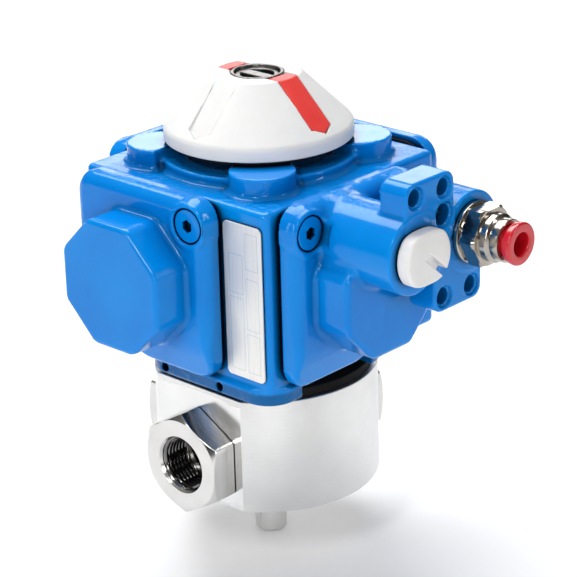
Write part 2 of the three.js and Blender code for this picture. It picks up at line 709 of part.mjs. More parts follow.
function valveShell() {
  const c = BODY_CHAMFER;
  const profile = [[0, BODY_BOTTOM], [BODY_RADIUS - c, BODY_BOTTOM], [BODY_RADIUS, BODY_BOTTOM + c],
    [BODY_RADIUS, BODY_TOP - c], [BODY_RADIUS - c, BODY_TOP], [NECK_RADIUS, BODY_TOP],
    [NECK_RADIUS, FOOT_BOTTOM - GAP], [0, FOOT_BOTTOM - GAP]];
  let shell = solid(turned(profile, FINE));
  const far = BODY_RADIUS + 1;
  const top = BODY_TOP + 0.01;
  shell = shell.subtract(box(-far, -BODY_FLAT, -far, far, BODY_BOTTOM - 1, top));
  shell = shell.subtract(box(BODY_FLAT, far, -far, far, BODY_BOTTOM - 1, top));
  return shell.subtract(box(-far, far, BODY_FLAT, far, BODY_BOTTOM - 1, top));
}

function valveBody() {
  let body = valveShell();
  const far = BODY_RADIUS + 1;
  body = body.subtract(rod('x', -SOCKET_START, SOCKET_START, CAVITY_RADIUS, [0, 0], ROUND));
  body = body.subtract(rod('y', 0, SOCKET_START, CAVITY_RADIUS, [0, 0], ROUND));
  body = body.subtract(rod('z', -CAVITY_RADIUS, 0, CAVITY_RADIUS, [0, 0], ROUND));
  body = body.subtract(rod('x', SOCKET_START - 0.1, far, SOCKET_RADIUS, [0, 0], ROUND));
  body = body.subtract(rod('x', -far, -SOCKET_START + 0.1, SOCKET_RADIUS, [0, 0], ROUND));
  body = body.subtract(rod('y', SOCKET_START - 0.1, far, SOCKET_RADIUS, [0, 0], ROUND));
  body = body.subtract(rod('z', 0, BODY_TOP + 9, STEM_RADIUS + GAP, [0, 0], SMALL));
  body = body.subtract(rod('z', 15, BODY_TOP + 9, PACKING_RADIUS + GAP, [0, 0], SMALL));
  for (const hole of aroundStem(mountScrewThread)) body = body.subtract(hole);
  return piece('valve_body', 'steel', body);
}

function mountScrewThread() {
  return rod('z', 15.2, FOOT_BOTTOM, SHANK_HOLE, [MOUNT_SCREW_OFFSET, -MOUNT_SCREW_OFFSET], TINY);
}

// A hexagon end connector, drawn with +X outward and screwed in against the seat.
function connector(name) {
  const shape = outline(polygon(6, CONNECTOR_FLATS, Math.PI / 3));
  let hexagon = solid(facingX(slab(shape, BODY_FLAT + GAP, CONNECTOR_FACE)));
  const chamferLength = 3;
  const corner = CONNECTOR_FLATS / 2;
  const wide = corner + chamferLength / Math.tan(Math.PI / 6);
  const cone = rod('x', CONNECTOR_FACE - chamferLength, CONNECTOR_FACE, wide, [0, 0], FINE, corner);
  const round = rod('x', BODY_FLAT, CONNECTOR_FACE - chamferLength, wide, [0, 0], FINE);
  hexagon = hexagon.intersect(cone.add(round));
  let body = hexagon.add(rod('x', SOCKET_START + 3.6, BODY_FLAT + 1, SOCKET_RADIUS - GAP, [0, 0], ROUND));
  const bottom = CONNECTOR_FACE - THREAD_DEPTH;
  body = body.subtract(rod('x', bottom, CONNECTOR_FACE + 1, CONNECTOR_THREAD, [0, 0], ROUND));
  const mouth = rod('x', CONNECTOR_FACE - 0.8, CONNECTOR_FACE + 0.2, CONNECTOR_THREAD - 0.2, [0, 0], ROUND,
    CONNECTOR_MOUTH);
  body = body.subtract(mouth);
  body = body.subtract(rod('x', SOCKET_START, bottom + 1, BALL_BORE + 0.4, [0, 0], SMALL));
  return piece(name, 'steel', body);
}

function ballSeat(name) {
  const outer = SOCKET_RADIUS - GAP;
  const end = SOCKET_START + 3.6 - GAP;
  const seat = rod('x', SOCKET_START - 6, end, SEAT_NOSE_RADIUS, [0, 0], ROUND)
    .add(rod('x', SOCKET_START + GAP, end, outer, [0, 0], ROUND))
    .subtract(rod('x', 0, end + 1, BALL_BORE + 0.4, [0, 0], SMALL))
    .subtract(solid(new THREE.SphereGeometry(BALL_RADIUS + 2 * GAP, 16, 10)));
  return piece(name, 'seat', seat);
}

function port(side, turn) {
  const group = new THREE.Group();
  group.rotation.z = turn;
  group.add(connector(`${side}_connector`));
  group.add(ballSeat(`${side}_ball_seat`));
  return group;
}

// The L-shaped bore of the ball joins the right and rear ports at rest.
function ball() {
  let body = solid(new THREE.SphereGeometry(BALL_RADIUS, 20, 12));
  body = body.subtract(rod('x', 0, BALL_RADIUS + 1, BALL_BORE, [0, 0], SMALL));
  body = body.subtract(rod('y', -BALL_BORE, BALL_RADIUS + 1, BALL_BORE, [0, 0], SMALL));
  body = body.subtract(box(-3, 3, -12, 12, BALL_RADIUS - 3.4, BALL_RADIUS + 1));
  return piece('ball', 'steel', body);
}

function stem() {
  const half = DRIVE_SQUARE / 2;
  let body = rod('z', BALL_RADIUS + GAP, FOOT_BOTTOM + 4, STEM_RADIUS, [0, 0], SMALL);
  body = body.add(box(-half, half, -half, half, FOOT_BOTTOM, DRIVE_TOP - 1));
  const tang = box(-2.7, 2.7, -3.8, 3.8, BALL_RADIUS - 3.1, BALL_RADIUS + 1);
  return piece('stem', 'steel', body.add(tang));
}

function valve() {
  const group = new THREE.Group();
  group.add(valveBody());
  group.add(port('left', Math.PI), port('right', 0), port('rear', Math.PI / 2));
  group.add(ball(), stem());
  const inner = STEM_RADIUS + GAP;
  group.add(piece('stem_packing', 'seat', tube('z', 15.3, 20.5, PACKING_RADIUS, inner, [0, 0], SMALL)));
  group.add(piece('gland_ring', 'steel', tube('z', 20.8, 26.8, PACKING_RADIUS, inner, [0, 0], SMALL)));
  const sealTop = BODY_TOP + 2.9;
  const seal = tube('z', BODY_TOP + GAP, sealTop, BODY_RADIUS - 1.2, NECK_RADIUS + GAP, [0, 0], FINE);
  const f = BODY_FLAT - 0.6;
  const square = box(-f, f, -BODY_RADIUS, f, BODY_TOP, BODY_TOP + 4);
  group.add(piece('base_gasket', 'rubber', seal.intersect(square)));
  group.add(piece('bottom_pin', 'steel', bottomPin()));
  return group;
}

function bottomPin() {
  const shank = rod('z', PIN_END + 0.8, BODY_BOTTOM - GAP, PIN_RADIUS, [0, 0], SMALL);
  return shank.add(rod('z', PIN_END, PIN_END + 0.8, PIN_RADIUS - 0.8, [0, 0], SMALL, PIN_RADIUS));
}

// ---- assembly -----------------------------------------------------------------------------

function mountScrew(name) {
  const head = rod('z', 38.8, 43.4, 4.2, [0, 0], SMALL);
  const shank = rod('z', 15.6, 40, SCREW_SHANK, [0, 0], TINY);
  const key = slab(outline(polygon(6, 4)), 41, 45);
  return piece(name, 'steel', head.add(shank).subtract(solid(key)));
}

function arm(side, quarter, level, cover, screwSide) {
  const group = new THREE.Group();
  group.rotation.z = quarter * Math.PI / 2;
  group.add(piece(`${side}_cover`, 'paint', cover));
  group.add(piece(`${side}_cover_gasket`, 'rubber', gasket(screwSide)));
  group.add(piece(`${side}_piston`, 'alloy', piston(level)));
  group.add(piece(`${side}_piston_seal`, 'rubber', pistonSeal()));
  group.add(piece(`${side}_spring`, 'spring', spring()));
  const [upper, lower] = screwPlaces(screwSide);
  group.add(piece(`${side}_cover_screw`, 'paint', coverScrew(upper)));
  group.add(piece(`${side}_cover_side_screw`, 'paint', sideScrew(lower)));
  return group;
}

function nameplate() {
  const shape = roundedRectangle(20.3, 34.6, 35.3, 81.3, 1.6);
  const mesh = piece('nameplate', 'brightPlate', facingX(slab(shape, 0, 0.6)));
  mesh.position.x = -HOUSING_HALF - GAP;
  mesh.rotation.z = Math.PI;
  return mesh;
}

function mountScrews() {
  const places = [['left_front', -1, -1], ['right_front', 1, -1], ['left_rear', -1, 1],
    ['right_rear', 1, 1]];
  return places.map(([name, x, y]) => {
    const mesh = mountScrew(`${name}_mount_screw`);
    mesh.position.set(x * MOUNT_SCREW_OFFSET, y * MOUNT_SCREW_OFFSET, 0);
    return mesh;
  });
}

const model = new THREE.Group();
model.add(housing());
model.add(arm('right', 0, 'low', plainCover(1), 1));
model.add(arm('rear', 1, 'high', plainCover(1), 1));
model.add(arm('left', 2, 'low', plainCover(1), 1));
const front = arm('front', 3, 'high', airCover(), -1);
front.add(piece('port_plug', 'whitePlastic', portPlug()));
front.add(piece('air_fitting', 'nickel', airFitting()));
front.add(piece('release_collet', 'redPlastic', releaseCollet()));
model.add(front);
model.add(nameplate());
model.add(pinionShaft());
model.add(bush('lower_bearing', 33.2, 43.6), bush('upper_bearing', 76.3, 87));
model.add(indicator());
model.add(valve());
model.add(...mountScrews());

export default model;
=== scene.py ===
import json
import math
from functools import partial
from typing import NamedTuple

import bmesh
import bpy
import numpy as np
from mathutils import Matrix, Vector


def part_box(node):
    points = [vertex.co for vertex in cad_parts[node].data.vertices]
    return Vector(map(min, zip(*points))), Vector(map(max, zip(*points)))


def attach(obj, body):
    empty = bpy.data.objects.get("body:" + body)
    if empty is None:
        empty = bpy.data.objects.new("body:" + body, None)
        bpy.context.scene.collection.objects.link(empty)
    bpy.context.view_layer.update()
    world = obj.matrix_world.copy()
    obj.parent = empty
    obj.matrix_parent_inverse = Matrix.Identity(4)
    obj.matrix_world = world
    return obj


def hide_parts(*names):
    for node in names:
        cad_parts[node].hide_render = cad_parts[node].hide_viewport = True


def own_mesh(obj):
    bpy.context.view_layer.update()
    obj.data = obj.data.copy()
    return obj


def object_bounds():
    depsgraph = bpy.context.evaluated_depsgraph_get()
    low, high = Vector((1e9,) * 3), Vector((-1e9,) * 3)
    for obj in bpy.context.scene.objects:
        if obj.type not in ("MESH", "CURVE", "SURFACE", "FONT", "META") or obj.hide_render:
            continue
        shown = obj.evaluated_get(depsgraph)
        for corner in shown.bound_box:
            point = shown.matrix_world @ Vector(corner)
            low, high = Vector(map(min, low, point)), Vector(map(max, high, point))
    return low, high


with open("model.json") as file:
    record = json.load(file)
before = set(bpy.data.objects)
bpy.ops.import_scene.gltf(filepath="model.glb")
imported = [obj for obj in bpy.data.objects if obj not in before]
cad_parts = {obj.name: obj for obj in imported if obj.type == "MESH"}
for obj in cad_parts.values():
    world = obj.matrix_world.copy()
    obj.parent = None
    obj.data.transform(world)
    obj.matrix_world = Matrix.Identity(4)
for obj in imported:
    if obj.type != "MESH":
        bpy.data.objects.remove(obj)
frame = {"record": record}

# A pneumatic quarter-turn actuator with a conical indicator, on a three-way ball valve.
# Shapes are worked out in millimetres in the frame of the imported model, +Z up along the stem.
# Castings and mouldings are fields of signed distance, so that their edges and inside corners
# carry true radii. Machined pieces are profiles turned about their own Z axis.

CAD_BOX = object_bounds()
MM = 0.001


def corners(node):
    """A node's lowest and highest corners at rest, in millimetres."""
    return [[value / MM for value in corner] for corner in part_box(node)]


# ---- driving dimensions, from the frame ----

COARSE = 1
CASTING_STEP = 0.7 * COARSE  # spacing of the grid that a casting is contoured on
COVER_STEP = 0.52 * COARSE
MOULDING_STEP = 0.38 * COARSE
SMALL_STEP = 0.22 * COARSE

ARMS = {"right": 0, "rear": 1, "left": 2, "front": 3}  # quarter turns from +X
HOUSING_LOW, HOUSING_HIGH = corners("actuator_housing")
FOOT_HALF = HOUSING_HIGH[0]
FOOT_BOTTOM = HOUSING_LOW[2]
BOSS_TOP = HOUSING_HIGH[2]
HOUSING_HALF = FOOT_HALF - 1
HOUSING_BOTTOM = FOOT_BOTTOM + 4
HOUSING_TOP = BOSS_TOP - 5.9
FOOT_REACH = 15
FOOT_CORNER = 9
BOSS_OFFSET = 20.5
BOSS_RADIUS = 9.5
BOSS_FLAT = 14.7  # the left rear boss is cut flat towards the indicator
CURB_RADIUS = 29
CURB_TOP = BOSS_TOP - 3
CURB_RECESS = 22
HUB_BORE = 9.3
CHAMBER_HALF = 15.6  # the space round the pinion
CHAMBER_SPAN = 44, 76
PAST = 40  # farther out than any cut needs to reach
WINDOW_SPAN = -24, 6  # an opening in the front of the foot
WINDOW_END = -28
LEAK_HOLES = -16.6, 5.3  # small holes in the left of the foot
LEAK_HEIGHT = FOOT_BOTTOM + 2.2
LEAK_RADIUS = 1.3
LEAK_END = -30
MOUNT_SCREWS = [(x, y) for x in (-14.85, 14.85) for y in (-14.85, 14.85)]
MOUNT_HOLE = 3.2
MOUNT_HEAD_HOLE = 4.6
MOUNT_SEAT = 38.4  # their heads rest here
MOUNT_HOLE_TOP = 45

COVER_LOW, COVER_HIGH = corners("right_cover")
COVER_BACK = COVER_LOW[0]
TOWER_FACE = COVER_HIGH[0]
COVER_FACE = TOWER_FACE - 12
ARM_OFFSET = -(COVER_LOW[1] + COVER_HIGH[1]) / 2
ARM_HEIGHT = (COVER_LOW[2] + COVER_HIGH[2]) / 2
PLATE_HALF_WIDTH = (COVER_HIGH[1] - COVER_LOW[1]) / 2
PLATE_HALF_HEIGHT = (COVER_HIGH[2] - COVER_LOW[2]) / 2
PLATE_CORNER = 7
PLATE_EDGE = 4.2
PLATE_CUT = 31  # the far lower corner is cut where |u| + |v| passes this
PLATE_RAMP = -17.5  # the plate's face slopes back below this, from the tower axis
PLATE_RAMP_RUN = 3.5, 10.5
EDGE_TAPER_TOP = -6  # the plate's rounding shrinks from here down
EDGE_TAPER = 0.18
PLATE_EDGE_LOW = 1.2
TOWER_FLATS = 38
BORE_RADIUS = 17
BORE_END = 11
TOWER_BORE_RADIUS = 15.8
TOWER_BORE_END = TOWER_FACE - 3.5
SCREW_RIM = 1.7  # wall of the lobe round the large screw's head
SCREW_GAP = 0.35  # round a head in its seat

PAD_FACE = -corners("front_cover")[0][1]
PAD_HEIGHT = (corners("air_fitting")[0][2] + corners("air_fitting")[1][2]) / 2
PAD_THICKNESS = 9.5
PAD_PITCH = 12  # of the pad's columns. A port lies this far to each side
SCREW_ROW = 16
PORT_BOSS_RADIUS = 11.6
LOBE_MARGIN = 4.3
LOBE_CORNER = 3.5
PAD_SCREW_HOLE = 2.4, 8  # radius and depth of the pad's holes
PAD_PIN_HOLE = 3.0, 5
PAD_PORT_HOLE = 4.6, 12
PIN_ROW = 8
SINK_WIDTH = 0.95  # of the countersinks round them
SINK_DEPTH = 0.9
PLUG_RADIUS = 9.1
PLUG_HALF_FLATS = 7.7
PLUG_STEM = 4.3
SLOT_TURN = 0.84  # of the plug's slot, in radians from upright
SLOT_HALF_WIDTH = 1.2
SLOT_FLOOR = PAD_FACE + 4.3
SLOT_SLOPE = 0.34
FITTING_FLATS = 16

CONE_LOW, CONE_HIGH = corners("indicator_cone")
CONE_RADIUS = CONE_HIGH[1]
CONE_BOTTOM = CONE_LOW[2]
CONE_TOP = CONE_HIGH[2]
CONE_RIM = CONE_BOTTOM + 4.5
CONE_TOP_RADIUS = 12.6
CONE_HUB = 7.9
ARROW_HALF_WIDTH = 4.1
ARROW_SHOULDER = 24.4
ARROW_TIP = 26.2
SHAFT_TOP = corners("pinion_shaft")[1][2]
SHAFT_BOTTOM = 33
JOURNAL_RADIUS = 6.4
TEETH = 16
TEETH_SPAN = 46, 74
TOOTH_ROOT = 6.75
TOOTH_HEIGHT = 2.05
SOCKET_HALF = 4.3  # the square hole that the stem drives
SOCKET_TOP = 45
POCKET_RADIUS = 4.9  # the two pockets in the shaft's end, with a web between them
POCKET_DEPTH = 4
WEB_HALF = 1.7

BODY_LOW, BODY_HIGH = corners("valve_body")
BODY_RADIUS = -BODY_LOW[1]
BODY_FLAT = BODY_HIGH[0]
BODY_BOTTOM = BODY_LOW[2]
BODY_NECK_TOP = BODY_HIGH[2]
BODY_TOP = BODY_NECK_TOP - 5.1
NECK_RADIUS = 25
BALL_BORE = 11.4
SEAT_END = 14.05
SOCKET_RADIUS = 13  # of the sockets for the connectors
SOCKET_FLOOR = 13.9
STEM_BORE = 5.3
PACKING_BORE = 8.3
PACKING_FLOOR = 15
MOUNT_FLOOR = 15.2
CONNECTOR_BACK, CONNECTOR_FACE = corners("right_connector")[0][0], corners("right_connector")[1][0]
CONNECTOR_FLATS = 27.7
CONNECTOR_CORNER = 15.85  # the hexagon's corners are turned down to this radius
CONNECTOR_BORE = 5.4
SPIGOT_RADIUS = 12.7
THREAD_MAJOR = 8.3
THREAD_DEPTH = 0.8
THREAD_PITCH = 1.337
THREAD_LENGTH = 12
THREAD_START = 0.9  # from the mouth

SPRING_RADIUS = 12.6
SPRING_WIRE = 2.4
SPRING_TURNS = 6
WIRE_SIDES = 16
WIRE_STEPS = 44  # along each turn of the coil

PLATE_FIELDS = [  # ruled fields, in shares of the nameplate's width and height
    (0.10, 0.42, 0.05, 0.30), (0.10, 0.42, 0.33, 0.66), (0.10, 0.42, 0.72, 0.95),
    (0.50, 0.86, 0.05, 0.52), (0.50, 0.86, 0.55, 0.80)]
RULE_WIDTH = 0.1

SPIN = 192  # facets round a turned piece


# ---- fields: signed distances in millimetres, negative inside ----

def meet(a, b, edge=0.0):
    """What a and b share, with the edge between them rounded."""
    if not np.any(edge):
        return np.maximum(a, b)
    over = np.hypot(np.maximum(edge + a, 0), np.maximum(edge + b, 0))
    return np.minimum(-edge, np.maximum(a, b)) + over


def join(a, b, fillet=0.0):
    """a and b together, with a fillet where they meet."""
    return -meet(-a, -b, fillet)


def cut(a, b, edge=0.0):
    """a without b."""
    return meet(a, -b, edge)


def span(value, low, high):
    return np.maximum(low - value, value - high)


def disc(u, v, centre, radius):
    return np.hypot(u - centre[0], v - centre[1]) - radius


def rectangle(u, v, u0, u1, v0, v1, corner=0.0):
    du = np.abs(u - (u0 + u1) / 2) - (u1 - u0) / 2 + corner
    dv = np.abs(v - (v0 + v1) / 2) - (v1 - v0) / 2 + corner
    outside = np.hypot(np.maximum(du, 0), np.maximum(dv, 0))
    return outside + np.minimum(np.maximum(du, dv), 0) - corner


def regular(u, v, sides, flats, turn=0.0, edge=0.0):
    """A regular polygon with a flat facing the direction turn, and rounded corners."""
    field = None
    for i in range(sides):
        angle = turn + i * 2 * math.pi / sides
        face = u * math.cos(angle) + v * math.sin(angle) - flats / 2
        field = face if field is None else meet(field, face, edge)
    return field


def ramp_plane(a, b, start, run):
    """The half plane left of a line in the (a, b) plane, through start and along run."""
    length = math.hypot(*run)
    return ((a - start[0]) * run[1] - (b - start[1]) * run[0]) / length


def quarter_turned(point, quarter):
    """The point seen from an arm's own frame, which has +X outward."""
    x, y, z = point
    return [(x, y, z), (y, -x, z), (-x, -y, z), (-y, x, z)][quarter]


# ---- from fields to meshes ----

CELL_CORNERS = np.array([(i, j, k) for i in (0, 1) for j in (0, 1) for k in (0, 1)])


def cell_edges():
    """The twelve edges of a cell, each as its two corners."""
    pairs = []
    for a in CELL_CORNERS:
        for b in CELL_CORNERS:
            if (b >= a).all() and (b - a).sum() == 1:
                pairs.append((a, b))
    return pairs


def crossings(values, cells):
    """The mean of the places where the surface crosses each cell's edges, in cells."""
    total = np.zeros(cells.shape)
    hits = np.zeros(len(cells))
    for a, b in cell_edges():
        at_a = values[tuple((cells + a).T)]
        at_b = values[tuple((cells + b).T)]
        crossed = (at_a < 0) != (at_b < 0)
        share = np.where(crossed, at_a / np.where(crossed, at_a - at_b, 1), 0)
        total += crossed[:, None] * (a + share[:, None] * (b - a))
        hits += crossed
    return cells + total / hits[:, None]


def quads_across(inside, number, axis):
    """A quad round each grid edge along axis whose ends lie on two sides of the surface."""
    first = np.take(inside, range(inside.shape[axis] - 1), axis)
    second = np.take(inside, range(1, inside.shape[axis]), axis)
    u, v = np.eye(3, dtype=int)[[(axis + 1) % 3, (axis + 2) % 3]]
    quads = []
    for leaving in (True, False):
        edges = np.argwhere(first & ~second if leaving else ~first & second)
        around = [edges - u - v, edges - v, edges, edges - u]
        ring = [number[tuple(cell.T)] for cell in around]
        quads.append(np.stack(ring if leaving else ring[::-1], axis=1))
    return np.concatenate(quads)


def slope(field, points):
    """Unit normals of the field at points, by central differences."""
    reach = 0.03
    columns = []
    for axis in range(3):
        move = np.zeros(3)
        move[axis] = reach
        columns.append(field(tuple((points + move).T)) - field(tuple((points - move).T)))
    normals = np.stack(columns, axis=1)
    return normals / np.maximum(np.linalg.norm(normals, axis=1), 1e-9)[:, None]


def contoured(field, low, high, step):
    """Points, quads and normals of the field's surface inside a box."""
    axes = [np.arange(a - 1.6 * step, b + 2.6 * step, step) for a, b in zip(low, high)]
    shape = [len(axis) for axis in axes]
    values = np.broadcast_to(field(np.ix_(*axes)), shape).astype(np.float32)
    inside = values < 0
    full = [slice(0, n - 1) for n in shape]
    count = sum(
        inside[tuple(slice(s.start + c, s.stop + c) for s, c in zip(full, corner))].astype(np.int8)
        for corner in CELL_CORNERS
    )
    cells = np.argwhere((count > 0) & (count < 8))
    number = np.full(count.shape, -1)
    number[tuple(cells.T)] = np.arange(len(cells))
    points = crossings(values, cells) * step + np.array([axis[0] for axis in axes])
    for _ in range(3):  # each pass moves the points closer to the surface
        normals = slope(field, points)
        off = np.clip(field(tuple(points.T)), -0.4 * step, 0.4 * step)
        points = points - off[:, None] * normals
    quads = np.concatenate([quads_across(inside, number, axis) for axis in range(3)])
    return points, quads, slope(field, points)


def new_object(name, mesh, place=None):
    piece = bpy.data.objects.new(name, mesh)
    bpy.context.scene.collection.objects.link(piece)
    if place is not None:
        piece.matrix_world = place
    return piece


def field_mesh(name, field, low, high, step):
    points, quads, normals = contoured(field, low, high, step)
    mesh = bpy.data.meshes.new(name)
    mesh.from_pydata((points * MM).tolist(), [], quads.tolist())
    mesh.shade_smooth()
    mesh.normals_split_custom_set_from_vertices(normals.tolist())
    return mesh


def field_piece(name, field, low, high, step, place=None):
    return new_object(name, field_mesh(name, field, low, high, step), place)


# ---- turned pieces ----

def soften(profile, steps=4):
    """Rounds the corners of a list of (radius, height, rounding) points."""
    points = np.array([p[:2] for p in profile], float)
    out = []
    for i, (_, _, rounding) in enumerate(profile):
        here = points[i]
        if not rounding:
            out.append(here)
            continue
        before = points[i - 1] - here
        after = points[(i + 1) % len(points)] - here
        start = here + before / np.linalg.norm(before) * rounding
        end = here + after / np.linalg.norm(after) * rounding
        for t in np.linspace(0, 1, steps + 1):
            out.append((1 - t) ** 2 * start + 2 * t * (1 - t) * here + t * t * end)
    return np.array(out)


def hexagon(across, angles):
    """The radius of a hexagon with a corner at angle 0."""
    sixth = math.pi / 3
    return across / 2 / np.cos(np.mod(angles, sixth) - sixth / 2)


def spun(name, profile, place, shape=None, closed=True, segments=SPIN, sharp=32):
    """A profile turned about Z. shape changes the radii from (radius, height, angle)."""
    angles = np.linspace(0, 2 * math.pi, segments, endpoint=False)[None, :]
    radius = profile[:, 0][:, None] + 0 * angles
    height = profile[:, 1][:, None] + 0 * angles
    if shape:
        radius = shape(radius, height, angles)
    points = np.stack([radius * np.cos(angles), radius * np.sin(angles), height], axis=-1)
    rows = len(profile)
    i, j = np.meshgrid(np.arange(rows if closed else rows - 1), np.arange(segments), indexing="ij")
    i, j = i.ravel(), j.ravel()
    up, along = (i + 1) % rows, (j + 1) % segments
    this, above = i * segments, up * segments
    faces = np.stack([this + j, this + along, above + along, above + j], axis=1)
    mesh = bpy.data.meshes.new(name)
    mesh.from_pydata((points.reshape(-1, 3) * MM).tolist(), [], faces.tolist())
    weld(mesh)
    mesh.shade_smooth()
    mesh.set_sharp_from_angle(angle=math.radians(sharp))
    return new_object(name, mesh, place)


def weld(mesh):
    """Merges the points that lie together on the axis."""
    work = bmesh.new()
    work.from_mesh(mesh)
    bmesh.ops.remove_doubles(work, verts=work.verts, dist=1e-7)
    bmesh.ops.dissolve_degenerate(work, edges=work.edges, dist=1e-8)
    work.to_mesh(mesh)
    work.free()


def arm_turn(quarter):
    """Places a piece that is drawn with +X outward on an arm."""
    return Matrix.Rotation(quarter * math.pi / 2, 4, "Z")


def facing(quarter, y=0.0, z=0.0):
    """Places a turned piece with its Z axis pointing outward on an arm."""
    place = Matrix.Translation((0, y * MM, z * MM)) @ Matrix.Rotation(math.pi / 2, 4, "Y")
    return arm_turn(quarter) @ place


UPRIGHT = Matrix.Identity(4)


# ---- materials ----

class Finish:
    """One procedural material: a Principled shader and the nodes that feed it."""

    def __init__(self, name, **sockets):
        self.material = bpy.data.materials.new(name)
        self.material.use_nodes = True
        self.tree = self.material.node_tree
        self.shader = self.tree.nodes["Principled BSDF"]
        for socket, value in sockets.items():
            self.shader.inputs[socket.replace("_", " ")].default_value = value
        self.coordinates = self.node("ShaderNodeTexCoord").outputs["Object"]
        self.normal = None

    def node(self, kind, links=None, **settings):
        made = self.tree.nodes.new(kind)
        for key, value in settings.items():
            setattr(made, key, value)
        for socket, value in (links or {}).items():
            if isinstance(value, bpy.types.NodeSocket):
                self.tree.links.new(value, made.inputs[socket])
            else:
                made.inputs[socket].default_value = value
        return made

    def math(self, operation, a, b=0.0):
        return self.node("ShaderNodeMath", {0: a, 1: b}, operation=operation).outputs[0]

    def product(self, *factors):
        result = factors[0]
        for factor in factors[1:]:
            result = self.math("MULTIPLY", result, factor)
        return result

    def axes(self, vector=None):
        split = self.node("ShaderNodeSeparateXYZ", {0: vector or self.coordinates})
        return split.outputs

    def noise(self, size, detail=2.0, stretch=(1, 1, 1)):
        """Noise with features of about size millimetres."""
        scale = tuple(s / (size * MM) for s in stretch)
        links = {"Vector": self.coordinates, "Scale": scale}
        mapped = self.node("ShaderNodeMapping", links).outputs[0]
        links = {"Vector": mapped, "Scale": 1.0, "Detail": detail}
        return self.node("ShaderNodeTexNoise", links).outputs[0]

    def radius(self):
        """The distance from the piece's own Z axis."""
        x, y, _ = self.axes()
        return self.math("SQRT", self.math("ADD", self.product(x, x), self.product(y, y)))

    def rings(self, size):
        """Fine noise along the axis and the radius, as a lathe tool leaves it."""
        place = self.product(self.math("ADD", self.radius(), self.axes()[2]), 1 / (size * MM))
        links = {"W": place, "Scale": 1.0, "Detail": 3.0}
        return self.node("ShaderNodeTexNoise", links, noise_dimensions="1D").outputs[0]

    def ramp(self, factor, *stops):
        """A ramp through (position, grey or colour) stops."""
        made = self.node("ShaderNodeValToRGB", {"Fac": factor})
        elements = made.color_ramp.elements
        while len(elements) < len(stops):
            elements.new(0.5)
        for element, (position, colour) in zip(elements, stops):
            element.position = position
            colour = (colour,) * 3 if isinstance(colour, (int, float)) else colour
            element.color = (*colour, 1)
        return made.outputs[0]

    def mottle(self, socket, size, detail, low, high, until=0.8):
        """Varies a socket between two values, by noise."""
        self.drive(socket, self.ramp(self.noise(size, detail), (0.3, low), (until, high)))

    def blend(self, factor, a, b, mode="MIX"):
        made = self.node("ShaderNodeMix", data_type="RGBA", blend_type=mode)
        for index, value in ((0, factor), (6, a), (7, b)):
            if isinstance(value, bpy.types.NodeSocket):
                self.tree.links.new(value, made.inputs[index])
            else:
                made.inputs[index].default_value = value if index == 0 else (*value, 1)
        return made.outputs[2]

    def tinted(self, colour, *shades):
        """The colour, multiplied by each of the shades."""
        for shade in shades:
            colour = self.blend(1.0, colour, shade, "MULTIPLY")
        return colour

    def occlusion_shade(self, reach, dark):
        """Painted shade: grey that falls to dark in holes and grooves narrower than reach millimetres,
        from ambient occlusion.
        """
        made = self.node("ShaderNodeAmbientOcclusion", {"Distance": reach * MM}, samples=8)
        return self.ramp(made.outputs["AO"], (0.35, dark), (0.78, 1.0))

    def drive(self, socket, output):
        self.tree.links.new(output, self.shader.inputs[socket])

    def bump(self, height, depth, strength=1.0):
        """Adds relief of depth millimetres to what is there."""
        links = {"Height": height, "Distance": depth * MM, "Strength": strength}
        if self.normal:
            links["Normal"] = self.normal
        self.normal = self.node("ShaderNodeBump", links).outputs[0]
        self.drive("Normal", self.normal)


def paint():
    """Gloss enamel over a sand casting, whose grain shows on the top and the foot. Its colour holds
    painted shade in creases, holes and grooves, a painted highlight on sharp edges, and a darker tone on
    the foot below the seam.
    """
    look = Finish(
        "blue_enamel", Coat_Weight=0.3, Coat_Roughness=0.03, IOR=1.5, Specular_IOR_Level=0.15,
        Specular_Tint=(0.3, 0.7, 1.0, 1))
    geometry = look.node("ShaderNodeNewGeometry").outputs
    blues = look.ramp(look.noise(22, 3), (0.3, (0.0, 0.185, 0.61)), (0.75, (0.0, 0.232, 0.69)))
    # Pointiness paints shade into creases and a highlight onto sharp edges.
    crease_shade_and_highlight = look.ramp(geometry["Pointiness"], (0.42, 0.4), (0.5, 1.0), (0.58, 1.12))
    z = look.axes()[2]
    seam = HOUSING_BOTTOM / 100
    foot = look.ramp(look.math("DIVIDE", z, 100 * MM), (seam - 0.008, 0.45), (seam + 0.002, 1.0))
    # Ambient occlusion paints shade into holes, grooves and gaps between parts; the foot is darker below
    # the seam.
    shade = look.tinted(crease_shade_and_highlight, look.occlusion_shade(3.4, 0.02), look.occlusion_shade(14, 0.55), foot)
    look.drive("Base Color", look.tinted(blues, shade))
    look.mottle("Roughness", 5, 4, 0.14, 0.24)
    up = look.ramp(look.axes(geometry["Normal"])[2], (0.8, 0.0), (0.95, 1.0))
    below_bosses = look.math("LESS_THAN", z, (BOSS_TOP - 1) * MM)
    above_block = look.math("GREATER_THAN", z, (HOUSING_TOP - 3) * MM)
    low = look.math("LESS_THAN", z, (HOUSING_BOTTOM + 0.4) * MM)
    patches = look.ramp(look.noise(11, 2), (0.4, 0.25), (0.65, 1.0))
    top = look.product(up, below_bosses, above_block)
    cast = look.product(look.math("MAXIMUM", top, low), patches)
    look.bump(look.product(look.noise(1.8, 3), cast), 0.9)
    look.bump(look.noise(3.5, 1), 0.03)
    return look.material


